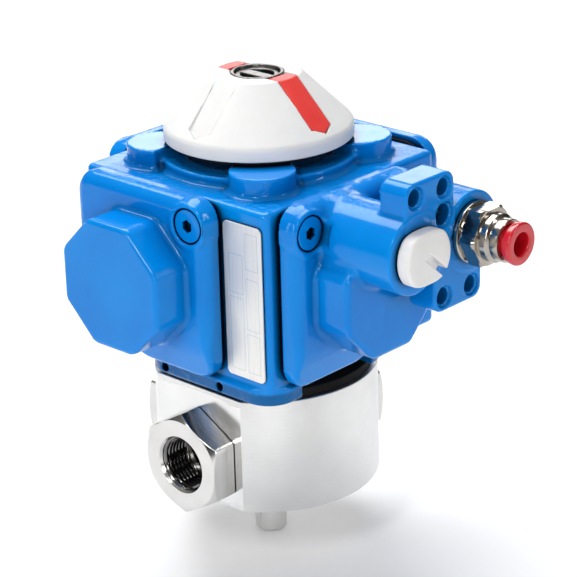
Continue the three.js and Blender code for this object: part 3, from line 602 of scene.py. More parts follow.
def stainless():
    """Turned and finely blasted stainless steel, smoother on the milled flats."""
    look = Finish("satin_stainless", Metallic=1.0, Specular_IOR_Level=0.5)
    geometry = look.node("ShaderNodeNewGeometry").outputs
    tone = look.ramp(look.noise(14, 4), (0.3, (0.68, 0.68, 0.665)), (0.75, (0.77, 0.77, 0.755)))
    look.drive("Base Color", look.blend(0.2, tone, look.ramp(look.rings(0.5), (0.2, 0.66), (0.8, 0.78))))
    nx, ny, _ = look.axes(geometry["Normal"])
    milled = look.math("GREATER_THAN", look.math("MAXIMUM", look.math("ABSOLUTE", nx), ny), 0.996)
    blasted = look.ramp(look.noise(1.2, 5), (0.3, 0.32), (0.75, 0.42))
    look.drive("Roughness", look.blend(milled, blasted, (0.17, 0.17, 0.17)))
    look.bump(look.rings(0.3), 0.0015)
    look.bump(look.noise(0.35, 2), 0.006)
    return look.material


def polished():
    """Bright machined stainless, with painted shade down the bore of a connector."""
    look = Finish("polished_stainless", Metallic=1.0)
    tone = look.ramp(look.noise(9, 3), (0.3, (0.58, 0.57, 0.55)), (0.8, (0.68, 0.67, 0.65)))
    # Painted shade: the colour falls to a third within about 8.3 mm of the axis, in the thread and the
    # bore.
    bore = look.ramp(look.product(look.radius(), 0.1 / MM), (0.82, 0.3), (0.84, 1.0))
    look.drive("Base Color", look.tinted(tone, bore))
    look.drive("Roughness", look.ramp(look.rings(0.6), (0.3, 0.14), (0.8, 0.24)))
    look.bump(look.rings(0.25), 0.002)
    return look.material


def nickel():
    look = Finish("nickel_plate", Metallic=1.0)
    look.mottle("Base Color", 6, 3, (0.36, 0.33, 0.285), (0.47, 0.44, 0.39))
    look.mottle("Roughness", 2, 4, 0.14, 0.2)
    look.bump(look.noise(0.4, 2), 0.002)
    return look.material


def alloy(name, dark, light, rough):
    """Bare cast or ground metal inside the actuator."""
    look = Finish(name, Metallic=1.0)
    look.mottle("Base Color", 5, 4, dark, light, until=0.75)
    look.mottle("Roughness", 1.5, 4, rough, rough + 0.15)
    look.bump(look.noise(0.6, 3), 0.02)
    return look.material


def plate():
    """A blank aluminium nameplate, brushed along its length, with faint ruled fields."""
    look = Finish("bright_plate", Metallic=0.6)
    grain = look.noise(0.5, 4, (1, 1, 0.04))
    base = look.ramp(grain, (0.3, (0.70, 0.69, 0.66)), (0.7, (0.80, 0.79, 0.76)))
    _, *place = look.axes()
    (_, *low_corner), (_, *high_corner) = corners("nameplate")
    lines = 0.0
    for left, right, bottom, top in PLATE_FIELDS:
        past = []
        ends = zip(place, low_corner, high_corner, (left, bottom), (right, top))
        for value, a, b, start, end in ends:
            start, end = a + start * (b - a), a + end * (b - a)
            from_middle = look.math("ABSOLUTE", look.math("SUBTRACT", value, (start + end) / 2 * MM))
            past.append(look.math("SUBTRACT", from_middle, (end - start) / 2 * MM))
        edge = look.math("ABSOLUTE", look.math("MAXIMUM", *past))
        line = look.math("LESS_THAN", edge, RULE_WIDTH * MM)
        lines = look.math("MAXIMUM", lines, line)
    look.drive("Base Color", look.blend(look.product(lines, 0.5), base, (0.22, 0.42, 0.58)))
    look.drive("Roughness", look.ramp(grain, (0.3, 0.3), (0.7, 0.42)))
    look.bump(grain, 0.01)
    return look.material


def moulding(name, dark, light, rough, grain, **sockets):
    """Moulded plastic or rubber with a fine grain."""
    look = Finish(name, **sockets)
    look.mottle("Base Color", 12, 3, dark, light, until=0.75)
    look.mottle("Roughness", 1.8, 4, rough, rough + 0.12)
    look.bump(look.noise(0.45, 3), grain)
    return look.material


MATERIALS = {
    "blue_paint": paint(),
    "satin_stainless": stainless(),
    "polished_stainless": polished(),
    "nickel_brass": nickel(),
    "cast_alloy": alloy("cast_alloy", (0.50, 0.51, 0.52), (0.62, 0.63, 0.64), 0.35),
    "dark_alloy": alloy("dark_alloy", (0.16, 0.155, 0.15), (0.27, 0.26, 0.25), 0.25),
    "bright_plate": plate(),
    "spring_steel": alloy("spring_steel", (0.30, 0.31, 0.32), (0.42, 0.43, 0.44), 0.28),
    # Nearly black, so that the gaskets which carry it show as painted shade in the gaps under the housing
    # and under the cone's rim.
    "black_rubber": moulding(
        "black_rubber", (0.004, 0.004, 0.004), (0.01, 0.01, 0.01), 0.7, 0.03, Specular_IOR_Level=0.15),
    "white_plastic": moulding(
        "white_plastic", (0.71, 0.71, 0.70), (0.77, 0.77, 0.76), 0.4, 0.008,
        Subsurface_Weight=0.12, Subsurface_Scale=0.002),
    "red_inlay": moulding("red_inlay", (0.72, 0.035, 0.03), (0.80, 0.06, 0.05), 0.32, 0.01),
    "red_collet": moulding(
        "red_collet", (0.50, 0.004, 0.012), (0.62, 0.01, 0.02), 0.16, 0.004, Coat_Weight=0.4),
    "dark_bearing": moulding("dark_bearing", (0.03, 0.03, 0.028), (0.06, 0.06, 0.055), 0.45, 0.02),
    "white_seat": moulding("white_seat", (0.72, 0.70, 0.64), (0.80, 0.78, 0.72), 0.4, 0.01),
}

BODIES = frame["record"]["behaviour"]["bodies"]
BODY_OF = {node: body for body, nodes in BODIES.items() for node in nodes}
SLOT_OF = {part["node"]: part["material_slot"] for part in frame["record"]["subparts"]}


def dress(piece, node, slot=None):
    """Gives a piece the finish, the body and the place of the CAD node that it stands for."""
    slot = slot or SLOT_OF[node]
    piece.data.materials.clear()
    piece.data.materials.append(MATERIALS[slot])
    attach(piece, BODY_OF[node])
    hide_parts(node)


# ---- housing ----

def foot_field(p, low, high):
    outline = rectangle(p[0], p[1], low, high, low, high, FOOT_CORNER)
    return meet(outline, span(p[2], FOOT_BOTTOM, HOUSING_BOTTOM + 1), 1.0)


def housing_shell(p):
    x, y, z = p
    half = HOUSING_HALF
    outline = rectangle(x, y, -half, half, -half, half, 2.2)
    block = meet(outline, span(z, HOUSING_BOTTOM, HOUSING_TOP), 1.6)
    foot = join(foot_field(p, -FOOT_HALF, FOOT_REACH), foot_field(p, -FOOT_REACH, FOOT_HALF))
    shell = join(block, foot, 1.2)
    curb = meet(disc(x, y, (0, 0), CURB_RADIUS), span(z, HOUSING_BOTTOM, CURB_TOP), 0.8)
    shell = join(shell, curb, 1.4)
    for bx in (-BOSS_OFFSET, BOSS_OFFSET):
        for by in (-BOSS_OFFSET, BOSS_OFFSET):
            outline = disc(x, y, (bx, by), BOSS_RADIUS)
            if bx < 0 < by:
                outline = meet(outline, BOSS_FLAT - y, 0.4)
            boss = meet(outline, span(z, HOUSING_BOTTOM, BOSS_TOP), 0.5)
            shell = join(shell, boss, 1.8)
    return shell


class CoverScrew(NamedTuple):
    """A cap screw of a cover. Radii, and distances along the arm from the stem."""
    kind: str
    across: float  # from the tower axis, on a cover with its lobe on the +u side
    up: float
    head: float
    thickness: float  # of the head
    seat: float  # how deep the head's seat is
    shank: float
    tail: float
    hole: float
    hole_end: float
    socket: float  # across its flats


LARGE_SCREW = CoverScrew(
    "cover_screw", across=20, up=19.5, head=4.85, thickness=2.9, seat=3.4,
    shank=2.5, tail=24, hole=3.2, hole_end=22, socket=3.4)
SIDE_SCREW = CoverScrew(
    "cover_side_screw", across=-22.6, up=-3, head=2.9, thickness=2.5, seat=3.0,
    shank=1.5, tail=29, hole=2.0, hole_end=28, socket=2.5)
COVER_SCREWS = LARGE_SCREW, SIDE_SCREW


def lobe_side(arm):
    """The front cover has its screw lobe on the other side of the tower."""
    return -1 if arm == "front" else 1


def screw_place(screw, side):
    return side * screw.across, screw.up


def arm_holes(p, side):
    """The bore and the screw holes that one arm puts into the housing."""
    x, u, v = p[0], p[1] + ARM_OFFSET, p[2] - ARM_HEIGHT
    holes = meet(disc(u, v, (0, 0), BORE_RADIUS), BORE_END - x)
    for screw in COVER_SCREWS:
        hole = meet(disc(u, v, screw_place(screw, side), screw.hole), screw.hole_end - x)
        holes = join(holes, hole)
    return holes


def housing_field(p):
    x, y, z = p
    field = housing_shell(p)
    recess = meet(disc(x, y, (0, 0), CURB_RECESS), CURB_TOP - 1 - z)
    field = cut(field, recess, 0.3)
    field = cut(field, disc(x, y, (0, 0), HUB_BORE) + 0 * z)
    half = CHAMBER_HALF
    chamber = meet(rectangle(x, y, -half, half, -half, half), span(z, *CHAMBER_SPAN))
    field = cut(field, chamber)
    for name, quarter in ARMS.items():
        field = cut(field, arm_holes(quarter_turned(p, quarter), lobe_side(name)))
    for centre in MOUNT_SCREWS:
        shank = meet(disc(x, y, centre, MOUNT_HOLE), z - MOUNT_HOLE_TOP)
        head = meet(disc(x, y, centre, MOUNT_HEAD_HOLE), span(z, MOUNT_SEAT, MOUNT_HOLE_TOP))
        field = cut(field, join(shank, head))
    opening = rectangle(x, z, *WINDOW_SPAN, FOOT_BOTTOM - 4, HOUSING_BOTTOM, 0.8)
    field = cut(field, meet(opening, span(y, -PAST, WINDOW_END)), 0.4)
    for along in LEAK_HOLES:
        leak = meet(disc(y, z, (along, LEAK_HEIGHT), LEAK_RADIUS), x - LEAK_END)
        field = cut(field, leak, 0.25)
    return field


def make_housing():
    piece = field_piece("cast_housing", housing_field, HOUSING_LOW, HOUSING_HIGH, CASTING_STEP)
    dress(piece, "actuator_housing")


# ---- covers, drawn with +X outward ----

def plate_outline(u, v, side):
    w, h = PLATE_HALF_WIDTH, PLATE_HALF_HEIGHT
    outline = rectangle(u, v, -w, w, -h, h, PLATE_CORNER)
    corner = (-side * u - v - PLATE_CUT) / math.sqrt(2)
    return meet(outline, corner, 3.0)


def cover_shell(p, side):
    x, u, v = p[0], p[1] + ARM_OFFSET, p[2] - ARM_HEIGHT
    slope_back = ramp_plane(x, v, (COVER_FACE, PLATE_RAMP), PLATE_RAMP_RUN)
    face = meet(x - COVER_FACE, slope_back, 0.7)
    outline_wall = plate_outline(u, v, side)
    rim = np.clip(PLATE_EDGE + (v - EDGE_TAPER_TOP) * EDGE_TAPER, PLATE_EDGE_LOW, PLATE_EDGE)
    plate = meet(outline_wall, face, rim)
    octagon = regular(u, v, 8, TOWER_FLATS, 0, 1.4)
    tower = meet(octagon, x - TOWER_FACE, 1.5)
    shell = join(plate, tower, 1.5)
    lobe = disc(u, v, screw_place(LARGE_SCREW, side), LARGE_SCREW.head + SCREW_RIM)
    lobe = meet(lobe, x - COVER_FACE, 0.7)
    return join(shell, meet(lobe, outline_wall), 1.2)


def cover_cuts(field, p, side):
    x, u, v = p[0], p[1] + ARM_OFFSET, p[2] - ARM_HEIGHT
    for screw in COVER_SCREWS:
        place = screw_place(screw, side)
        seat = disc(u, v, place, screw.head + SCREW_GAP)
        seat = meet(seat, span(x, COVER_FACE - screw.seat, COVER_FACE + 3))
        hole = meet(disc(u, v, place, screw.hole), x - COVER_FACE)
        field = cut(field, join(seat, hole), 0.8)
    wide = meet(disc(u, v, (0, 0), BORE_RADIUS), x - (COVER_FACE - 3))
    deep = meet(disc(u, v, (0, 0), TOWER_BORE_RADIUS), x - TOWER_BORE_END)
    field = cut(field, join(wide, deep))
    return meet(field, COVER_BACK - x, 0.3)


def plain_cover_field(p):
    return cover_cuts(cover_shell(p, 1), p, 1)


def pad_field(p):
    """The solenoid valve interface, with its two port bosses."""
    x, u, v = p[0], p[1], p[2] - PAD_HEIGHT
    margin = LOBE_MARGIN
    top = SCREW_ROW + margin
    upper = rectangle(u, v, -PAD_PITCH - margin, margin, 0, top, LOBE_CORNER)
    lower = rectangle(u, v, -margin, PAD_PITCH + margin, -top, 0, LOBE_CORNER)
    lobes = meet(join(upper, lower), span(x, PAD_FACE - PAD_THICKNESS, PAD_FACE), 0.8)
    for side in (-1, 1):
        round_boss = disc(u, v, (side * PAD_PITCH, 0), PORT_BOSS_RADIUS)
        boss = meet(round_boss, span(x, COVER_FACE - 4, PAD_FACE), 0.6)
        lobes = join(lobes, boss, 0.9)
    return lobes


def air_cover_field(p):
    x, u, v = p[0], p[1], p[2] - PAD_HEIGHT
    field = join(cover_shell(p, -1), pad_field(p), 2.0)
    field = cover_cuts(field, p, -1)
    holes = [
        ((-PAD_PITCH, SCREW_ROW), PAD_SCREW_HOLE), ((0, SCREW_ROW), PAD_SCREW_HOLE),
        ((0, PIN_ROW), PAD_PIN_HOLE),
        ((0, -SCREW_ROW), PAD_SCREW_HOLE), ((PAD_PITCH, -SCREW_ROW), PAD_SCREW_HOLE),
        ((-PAD_PITCH, 0), PAD_PORT_HOLE), ((PAD_PITCH, 0), PAD_PORT_HOLE)]
    for centre, (radius, depth) in holes:
        hole = meet(disc(u, v, centre, radius), PAD_FACE - depth - x)
        cone = disc(u, v, centre, radius + SINK_WIDTH) - 0.5 * (x - PAD_FACE)
        sink = meet(cone, PAD_FACE - SINK_DEPTH - x)
        field = cut(cut(field, hole), sink, 0.2)
    return field


def front_corners(node):
    """A node's corners in the front arm's own frame."""
    (x0, y0, z0), (x1, y1, z1) = corners(node)
    return (-y1, x0, z0), (-y0, x1, z1)


def make_covers():
    low, high = corners("right_cover")
    shared = field_mesh("plain_cover", plain_cover_field, low, high, COVER_STEP)
    for name in ("right", "rear", "left"):
        piece = new_object(f"cast_{name}_cover", shared.copy(), arm_turn(ARMS[name]))
        dress(piece, f"{name}_cover")
    low, high = front_corners("front_cover")
    turn = arm_turn(ARMS["front"])
    piece = field_piece("cast_front_cover", air_cover_field, low, high, COVER_STEP, turn)
    dress(piece, "front_cover")


def screw_profile(screw):
    top = COVER_FACE - 0.2
    neck = top - screw.thickness
    return soften([
        (0, screw.tail, 0), (screw.shank, screw.tail, 0.3), (screw.shank, neck, 0.1),
        (screw.head, neck, 0.2), (screw.head, top, 0.45), (screw.socket * 0.62, top, 0.12),
        (screw.socket * 0.55, top - 1.8, 0), (0, top - 2.3, 0)])


def socket_walls(flats, radius, height, angles):
    """Makes the socket in a screw's head a hexagon."""
    walls = (radius < 0.64 * flats) & (height > COVER_FACE - 2.2) & (radius > 0.01)
    return np.where(walls, hexagon(flats, angles), radius)


def make_cover_screws():
    for name, quarter in ARMS.items():
        for screw in COVER_SCREWS:
            u, v = screw_place(screw, lobe_side(name))
            place = facing(quarter, u - ARM_OFFSET, v + ARM_HEIGHT)
            node = f"{name}_{screw.kind}"
            shape = partial(socket_walls, screw.socket)
            piece = spun(
                f"{node}_turned", screw_profile(screw), place, shape, closed=False, segments=96)
            dress(piece, node)


# ---- return springs ----

def coil_mesh(start, end):
    """A round-wire coil along +X with closed end turns, its axis where the arm's axis is."""
    turns = np.linspace(0, SPRING_TURNS, SPRING_TURNS * WIRE_STEPS + 1)
    wire = SPRING_WIRE / 2
    closed = SPRING_WIRE + 0.1
    stations = [0, 1, SPRING_TURNS - 1, SPRING_TURNS]
    heights = [start + wire, start + wire + closed, end - wire - closed, end - wire]
    along = np.interp(turns, stations, heights)[:, None]
    angle = 2 * math.pi * turns[:, None]
    section = np.linspace(0, 2 * math.pi, WIRE_SIDES, endpoint=False)[None, :]
    radius = SPRING_RADIUS + wire * np.cos(section)
    points = np.stack([
        along + wire * np.sin(section) + 0 * angle,
        radius * np.cos(angle) - ARM_OFFSET,
        radius * np.sin(angle) + ARM_HEIGHT], axis=-1)
    ring = np.arange(WIRE_SIDES)
    base = np.arange(len(turns) - 1)[:, None] * WIRE_SIDES
    side = np.roll(ring, -1)
    next_base = base + WIRE_SIDES
    quads = np.stack([base + ring, base + side, next_base + side, next_base + ring], axis=-1)
    quads = quads.reshape(-1, 4).tolist()
    last = (len(turns) - 1) * WIRE_SIDES
    ends = [ring[::-1].tolist(), (ring + last).tolist()]
    mesh = bpy.data.meshes.new("coil")
    mesh.from_pydata((points.reshape(-1, 3) * MM).tolist(), [], quads + ends)
    work = bmesh.new()
    work.from_mesh(mesh)
    bmesh.ops.recalc_face_normals(work, faces=work.faces)
    work.to_mesh(mesh)
    work.free()
    mesh.shade_smooth()
    mesh.set_sharp_from_angle(angle=math.radians(50))
    return mesh


def make_springs():
    """Builds a coil at its rest length for each arm. On the actuator each spring shortens towards its
    tower as its piston moves out.
    """
    low, high = corners("right_spring")
    start, end = low[0], high[0]
    shared = coil_mesh(start, end)
    for name, quarter in ARMS.items():
        turn = arm_turn(quarter)
        piece = new_object(f"coiled_{name}_spring", shared.copy(), turn)
        dress(piece, f"{name}_spring")
        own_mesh(piece)


# ---- port plug, air fitting and collet ----

def plug_field(p):
    x, u, v = p[0], p[1] + PAD_PITCH, p[2] - PAD_HEIGHT
    rim = meet(np.hypot(u, v) - PLUG_RADIUS, np.abs(v) - PLUG_HALF_FLATS, 2.0)
    cap = meet(rim, span(x, PAD_FACE + 0.3, PAD_FACE + 4.8), 0.9)
    stem = meet(np.hypot(u, v) - PLUG_STEM, span(x, PAD_FACE - 8, PAD_FACE + 2))
    along = -u * math.sin(SLOT_TURN) + v * math.cos(SLOT_TURN)
    side = u * math.cos(SLOT_TURN) + v * math.sin(SLOT_TURN)
    outline = rectangle(side, along, -SLOT_HALF_WIDTH, SLOT_HALF_WIDTH, -12, 2, 0.4)
    slot = meet(outline, SLOT_FLOOR + SLOT_SLOPE * along - x)
    return cut(join(cap, stem), slot, 0.3)


def make_port_plug():
    low, high = front_corners("port_plug")
    turn = arm_turn(ARMS["front"])
    dress(field_piece("moulded_port_plug", plug_field, low, high, SMALL_STEP, turn), "port_plug")


def at_port():
    """Places a turned piece with its Z axis pointing out of the right-hand port."""
    port = Matrix.Translation((PAD_PITCH * MM, 0, PAD_HEIGHT * MM))
    return port @ Matrix.Rotation(math.pi / 2, 4, "X")


def fitting_flats(radius, height, angles):
    """Mills the hexagon of the air fitting."""
    milled = (height > PAD_FACE + 2) & (height < PAD_FACE + 7.35)
    return np.where(milled, np.minimum(radius, hexagon(FITTING_FLATS, angles)), radius)


def make_air_fitting():
    face = PAD_FACE
    profile = soften([
        (2.4, face - 8, 0), (4.3, face - 8, 0.3), (4.3, face + 0.3, 0), (8.9, face + 0.3, 0.25),
        (8.9, face + 1.7, 0.3), (8.0, face + 1.9, 0), (8.0, face + 2.2, 0), (9.24, face + 2.6, 0),
        (9.24, face + 6.6, 0), (8.3, face + 7.3, 0.1), (7.0, face + 7.4, 0.1), (7.0, face + 9.8, 0.35),
        (6.3, face + 10.1, 0.1), (5.9, face + 10.4, 0.1), (6.2, face + 10.8, 0.1), (6.2, face + 13.2, 0.5),
        (4.9, face + 13.2, 0.3), (4.9, face + 5.5, 0), (2.4, face + 5.5, 0)])
    dress(spun("turned_air_fitting", profile, at_port(), fitting_flats, sharp=12), "air_fitting")


def make_collet():
    face = PAD_FACE
    profile = soften([
        (3.2, face + 7.2, 0), (4.6, face + 7.2, 0.2), (4.6, face + 14.8, 0.15), (6.0, face + 14.8, 0.3),
        (6.2, face + 17.2, 0.7), (3.4, face + 17.2, 0.5), (3.2, face + 14, 0)])
    dress(spun("moulded_collet", profile, at_port(), segments=128), "release_collet")


# ---- indicator and shaft ----

def cone_outside(p):
    radius = np.hypot(p[0], p[1])
    z = p[2]
    drop = CONE_TOP - CONE_RIM
    run = CONE_TOP_RADIUS - (CONE_RADIUS - 0.7)
    flank = ((radius - CONE_TOP_RADIUS) * drop + (CONE_TOP - z) * run) / math.hypot(drop, run)
    rim = meet(radius - CONE_RADIUS, CONE_BOTTOM - z, 0.3)
    rim = meet(rim, flank, 0.7)
    return meet(rim, z - CONE_TOP, 0.35)


def arrow_outline(u, v, shrink=0.0):
    """An arrow that points along +u."""
    w = ARROW_HALF_WIDTH - shrink
    tip, shoulder = ARROW_TIP - 1.4 * shrink, ARROW_SHOULDER - 0.4 * shrink
    side = np.abs(v)
    head = ((u - tip) * w + side * (tip - shoulder)) / math.hypot(w, tip - shoulder)
    return meet(meet(side - w, head), -u)


def cone_field(p):
    x, y, z = p
    outside = cone_outside(p)
    hollow = meet(outside + 3.0, meet(z - (CONE_TOP - 4.5), 9.4 - np.hypot(x, y)))
    mouth = meet(np.hypot(x, y) - 22, span(z, CONE_BOTTOM - 5, CONE_BOTTOM + 4))
    hollow = join(hollow, meet(mouth, 9.4 - np.hypot(x, y)))
    field = cut(outside, hollow)
    field = cut(field, np.hypot(x, y) - CONE_HUB + 0 * z, 0.25)
    for quarter in range(4):
        u, v, _ = quarter_turned(p, quarter)
        depth = 1.0 if quarter % 2 else 0.12 + 0.85 * np.clip((u - CONE_TOP_RADIUS) / 12, 0, 1)
        recess = meet(arrow_outline(u, v) + 0 * z, -(outside + depth))
        field = cut(field, recess, 0.12)
    return field


def arrow_field(p, quarter):
    u, v, _ = quarter_turned(p, quarter)
    outside = cone_outside(p)
    skin = meet(outside + 0.15, -(outside + 0.7), 0.15)
    start = CONE_HUB + 0.3 - u
    return meet(meet(skin, arrow_outline(u, v, 0.25), 0.1), start, 0.1)


def make_indicator():
    piece = field_piece("moulded_indicator_cone", cone_field, CONE_LOW, CONE_HIGH, MOULDING_STEP)
    dress(piece, "indicator_cone")
    for name, quarter in (("front", 3), ("rear", 1)):
        node = f"{name}_red_arrow"
        low, high = corners(node)
        field = partial(arrow_field, quarter=quarter)
        dress(field_piece(f"inlaid_{node}", field, low, high, SMALL_STEP), node)
    top = CONE_TOP
    profile = soften([
        (6.7, top - 9, 0), (7.6, top - 9, 0), (7.6, top, 0.25), (6.7, top, 0.3)])
    dress(spun("turned_indicator_ring", profile, UPRIGHT), "indicator_ring", "dark_alloy")
    # The indicator gasket is a black disc under the cone's rim, a dark piece that stands in for the shadow
    # gap there: painted shade.
    low, high = corners("indicator_gasket")
    profile = soften([
        (9.6, low[2], 0), (high[0], low[2], 0.15), (high[0], high[2], 0.15), (9.6, high[2], 0)])
    dress(spun("indicator_gasket_shade_disc", profile, UPRIGHT), "indicator_gasket")


def shaft_field(p):
    x, y, z = p
    radius = np.hypot(x, y)
    phase = np.mod(np.arctan2(y, x) * TEETH / (2 * math.pi) + 0.5, 1) - 0.5
    crest = np.clip((0.36 - np.abs(phase)) / 0.24, 0, 1)
    teeth = meet(radius - (TOOTH_ROOT + TOOTH_HEIGHT * crest), span(z, *TEETH_SPAN)) * 0.6
    field = join(meet(radius - JOURNAL_RADIUS, span(z, SHAFT_BOTTOM, SHAFT_TOP), 0.3), teeth)
    half = SOCKET_HALF
    field = cut(field, meet(rectangle(x, y, -half, half, -half, half), z - SOCKET_TOP))
    pockets = meet(meet(radius - POCKET_RADIUS, WEB_HALF - np.abs(x)), SHAFT_TOP - POCKET_DEPTH - z)
    return cut(field, pockets, 0.2)


def make_shaft():
    low, high = corners("pinion_shaft")
    dress(field_piece("ground_pinion_shaft", shaft_field, low, high, MOULDING_STEP), "pinion_shaft")


# ---- valve ----

def body_flats(radius, height, angles):
    """Mills the three flats where the end connectors sit."""
    shortfall = BODY_RADIUS - radius
    for direction in (0, math.pi / 2, math.pi):
        facing_it = np.cos(angles - direction)
        flat = np.where(facing_it > 0.1, (BODY_FLAT - shortfall) / np.maximum(facing_it, 0.1), 1e3)
        radius = np.where((radius > 30) & (flat < radius), flat, radius)
    return radius


def rod(name, radius, low, high, place):
    """A plain turned cutter."""
    profile = np.array([(0, low), (radius, low), (radius, high), (0, high)], float)
    return spun(name, profile, place, closed=False, segments=96)


def bored(piece, cutters):
    """Cuts the cutters out of a piece and removes them."""
    for cutter in cutters:
        modifier = piece.modifiers.new("bore", "BOOLEAN")
        modifier.operation = "DIFFERENCE"
        modifier.object = cutter
        modifier.solver = "EXACT"
    bpy.context.view_layer.update()
    depsgraph = bpy.context.evaluated_depsgraph_get()
    result = bpy.data.meshes.new_from_object(piece.evaluated_get(depsgraph))
    piece.modifiers.clear()
    piece.data = result
    for cutter in cutters:
        bpy.data.objects.remove(cutter)
    result.shade_smooth()
    result.set_sharp_from_angle(angle=math.radians(25))


def make_valve_body():
    """The body, with the ball's chamber, sockets for the connectors and a bore for the stem."""
    profile = soften([
        (0, BODY_BOTTOM, 0), (BODY_RADIUS, BODY_BOTTOM, 0.5), (BODY_RADIUS, BODY_TOP, 0.5),
        (NECK_RADIUS, BODY_TOP, 0.2), (NECK_RADIUS, BODY_NECK_TOP, 0.2),
        (0, BODY_NECK_TOP, 0)], steps=3)
    piece = spun(
        "turned_valve_body", profile, UPRIGHT, body_flats, closed=False, segments=360, sharp=25)
    cutters = [
        rod("cut_run", BALL_BORE, -SEAT_END, SEAT_END, facing(0)),
        rod("cut_branch", BALL_BORE, 0, SEAT_END, facing(1))]
    for quarter in (0, 1, 2):
        place = facing(quarter)
        cutters.append(rod(f"cut_socket_{quarter}", SOCKET_RADIUS, SOCKET_FLOOR, PAST, place))
    cutters += [
        rod("cut_floor", BALL_BORE, -BALL_BORE, 0, UPRIGHT),
        rod("cut_stem", STEM_BORE, 0, PAST, UPRIGHT),
        rod("cut_packing", PACKING_BORE, PACKING_FLOOR, PAST, UPRIGHT)]
    for x, y in MOUNT_SCREWS:
        place = Matrix.Translation((x * MM, y * MM, 0))
        cutters.append(rod(f"cut_screw_{x}_{y}", MOUNT_HOLE, MOUNT_FLOOR, PAST, place))
    bored(piece, cutters)
    dress(piece, "valve_body")


def connector_profile():
    face, flats = CONNECTOR_FACE, CONNECTOR_FLATS / 2
    outer = soften([
        (CONNECTOR_BORE, CONNECTOR_BACK, 0), (SPIGOT_RADIUS, CONNECTOR_BACK, 0.3),
        (SPIGOT_RADIUS, BODY_FLAT + 0.3, 0), (CONNECTOR_CORNER + 0.45, BODY_FLAT + 0.3, 0)])
    wide = 2.2
    slant = wide * math.tan(math.pi / 6)
    chamfer = [(flats + wide * (1 - t), face - slant * (1 - t)) for t in np.linspace(0, 1, 14)]
    mouth = soften([(flats - 0.05, face, 0), (8.9, face, 0.1), (THREAD_MAJOR, face - 0.8, 0)])
    turns = np.arange(face - THREAD_START, face - THREAD_LENGTH, -THREAD_PITCH / 10)
    thread = [(THREAD_MAJOR, height) for height in turns]
    inner = [(THREAD_MAJOR, face - THREAD_LENGTH), (CONNECTOR_BORE, face - THREAD_LENGTH)]
    return np.array([*outer, *chamfer, *mouth, *thread, *inner], float)


def connector_shape(radius, height, angles):
    """The hexagon outside and the thread inside."""
    milled = np.minimum(hexagon(CONNECTOR_FLATS, angles), CONNECTOR_CORNER)
    depth = CONNECTOR_FACE - height
    turn = depth / THREAD_PITCH + angles / (2 * math.pi)
    crest = np.clip(0.5 + 0.85 * np.cos(2 * math.pi * turn), 0, 1)
    fade = np.clip((depth - THREAD_START) / 1.2, 0, 1)
    fade = fade * np.clip((THREAD_LENGTH - 0.6 - depth) / 1.5, 0, 1)
    threaded = np.abs(radius - THREAD_MAJOR) < 0.01
    return np.where(threaded, radius - THREAD_DEPTH * crest * fade, np.minimum(radius, milled))


def make_connectors():
    for name, quarter in (("right", 0), ("rear", 1), ("left", 2)):
        piece = spun(f"turned_{name}_connector", connector_profile(), facing(quarter), connector_shape)
        dress(piece, f"{name}_connector", "polished_stainless")


def make_valve_trim():
    # The base gasket is a black ring on the body's top, a dark piece that stands in for the shadow in the
    # gap under the housing: painted shade.
    low, high = corners("base_gasket")
    outer = BODY_RADIUS - 1.2
    profile = soften([
        (25.3, low[2], 0), (outer, low[2], 0.2), (outer, high[2], 0.2), (25.3, high[2], 0)])
    dress(spun("base_gasket_shade_ring", profile, UPRIGHT, body_flats, segments=360), "base_gasket")
    low, high = corners("bottom_pin")
    radius = high[0]
    profile = soften([
        (0, low[2], 0), (radius - 0.8, low[2], 0.15), (radius, low[2] + 0.8, 0.15),
        (radius, high[2], 0), (0, high[2], 0)])
    dress(spun("turned_bottom_pin", profile, UPRIGHT, closed=False), "bottom_pin")


def nameplate_field(p):
    """A thin plate with round corners and a soft edge."""
    (x0, y0, z0), (x1, y1, z1) = corners("nameplate")
    return meet(rectangle(p[1], p[2], y0, y1, z0, z1, 1.6), span(p[0], x0, x1), 0.18)


def make_nameplate():
    low, high = corners("nameplate")
    dress(field_piece("etched_nameplate", nameplate_field, low, high, SMALL_STEP), "nameplate")


# ---- stage ----

def make_floor():
    mesh = bpy.data.meshes.new("floor")
    work = bmesh.new()
    bmesh.ops.create_grid(work, x_segments=8, y_segments=8, size=4)
    bmesh.ops.translate(work, verts=work.verts, vec=(0, 0, CAD_BOX[0][2] - 0.0002))
    work.to_mesh(mesh)
    work.free()
    floor = new_object("floor", mesh)
    look = Finish("pale_floor", Emission_Strength=0.1, Emission_Color=(1, 1, 1, 1))
    look.mottle("Base Color", 80, 2, (0.81, 0.81, 0.82), (0.84, 0.84, 0.85))
    look.mottle("Roughness", 20, 3, 0.6, 0.7)
    mesh.materials.append(look.material)


def softbox(name, location, size, power):
    """A rectangular lamp that faces the middle of the object."""
    light = bpy.data.lights.new(name, "AREA")
    light.shape = "RECTANGLE"
    light.size, light.size_y = size
    light.energy = power
    lamp = bpy.data.objects.new(name, light)
    bpy.context.scene.collection.objects.link(lamp)
    lamp.location = location
    towards = Vector(TARGET) - lamp.location
    lamp.rotation_euler = towards.to_track_quat("-Z", "Y").to_euler()


def make_lights():
    softbox("key", (-0.85, -0.25, 0.75), (0.16, 0.3), 3.8)
    softbox("camera_fill", (-0.75, -0.8, 0.3), (0.35, 0.25), 2.6)
    softbox("front_strip", (0.45, -0.95, 0.4), (0.06, 0.7), 1.8)
    softbox("back_strip", (0.78, 0.72, 0.42), (1.0, 0.2), 2.6)
    softbox("side_strip", (-0.95, 0.45, 0.25), (0.06, 0.7), 1.2)
    softbox("overhead", (0.2, 0.45, 1.0), (0.9, 0.6), 13.5)


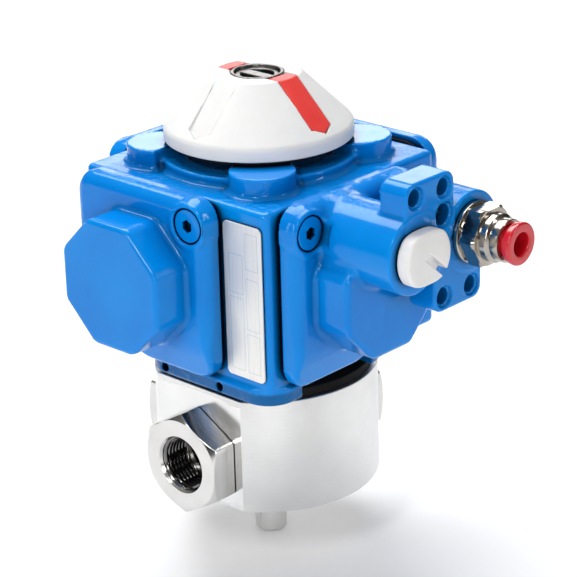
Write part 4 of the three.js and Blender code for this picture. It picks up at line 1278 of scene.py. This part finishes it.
def make_world():
    """A dim studio, paler overhead."""
    world = bpy.data.worlds.new("studio")
    world.use_nodes = True
    tree = world.node_tree
    background = tree.nodes["Background"]
    coordinates = tree.nodes.new("ShaderNodeTexCoord")
    split = tree.nodes.new("ShaderNodeSeparateXYZ")
    ramp = tree.nodes.new("ShaderNodeValToRGB")
    tree.links.new(coordinates.outputs["Generated"], split.inputs[0])
    tree.links.new(split.outputs[2], ramp.inputs[0])
    tree.links.new(ramp.outputs[0], background.inputs[0])
    ramp.color_ramp.elements[0].color = (0.03, 0.031, 0.033, 1)
    ramp.color_ramp.elements[1].color = (0.8, 0.8, 0.8, 1)
    background.inputs[1].default_value = 0.5
    bpy.context.scene.world = world


AZIMUTH, ELEVATION, ROLL = math.radians(-46.17), math.radians(21.71), math.radians(-1.82)
DISTANCE = 0.68093
TARGET = (0, 0, 0.04578)
SENSOR_WIDTH = 36
FOCAL_LENGTH = 142.9
LENS_SHIFT = 0.0429, -0.0094


def make_camera():
    """Looks at the front left corner from a little above, through a long lens."""
    data = bpy.data.cameras.new("camera")
    data.sensor_width = SENSOR_WIDTH
    data.lens = FOCAL_LENGTH
    data.shift_x, data.shift_y = LENS_SHIFT
    camera = bpy.data.objects.new("camera", data)
    bpy.context.scene.collection.objects.link(camera)
    turn = Matrix.Rotation(AZIMUTH, 4, "Z") @ Matrix.Rotation(math.pi / 2 - ELEVATION, 4, "X")
    view = Matrix.Translation(TARGET) @ turn @ Matrix.Translation((0, 0, DISTANCE))
    camera.matrix_world = view @ Matrix.Rotation(ROLL, 4, "Z")
    bpy.context.scene.camera = camera


def dress_cad_nodes():
    """Every CAD node gets the finish of its slot. The inner ones are seen as they are."""
    for node, slot in SLOT_OF.items():
        piece = bpy.data.objects.get(node)
        if piece is None:
            continue
        for material_slot in piece.material_slots:
            material_slot.material = MATERIALS[slot]


make_camera()
dress_cad_nodes()
make_housing()
make_covers()
make_cover_screws()
make_springs()
make_port_plug()
make_air_fitting()
make_collet()
make_indicator()
make_shaft()
make_valve_body()
make_connectors()
make_valve_trim()
make_nameplate()
make_floor()
make_lights()
make_world()
bpy.context.scene.view_settings.view_transform = "Standard"
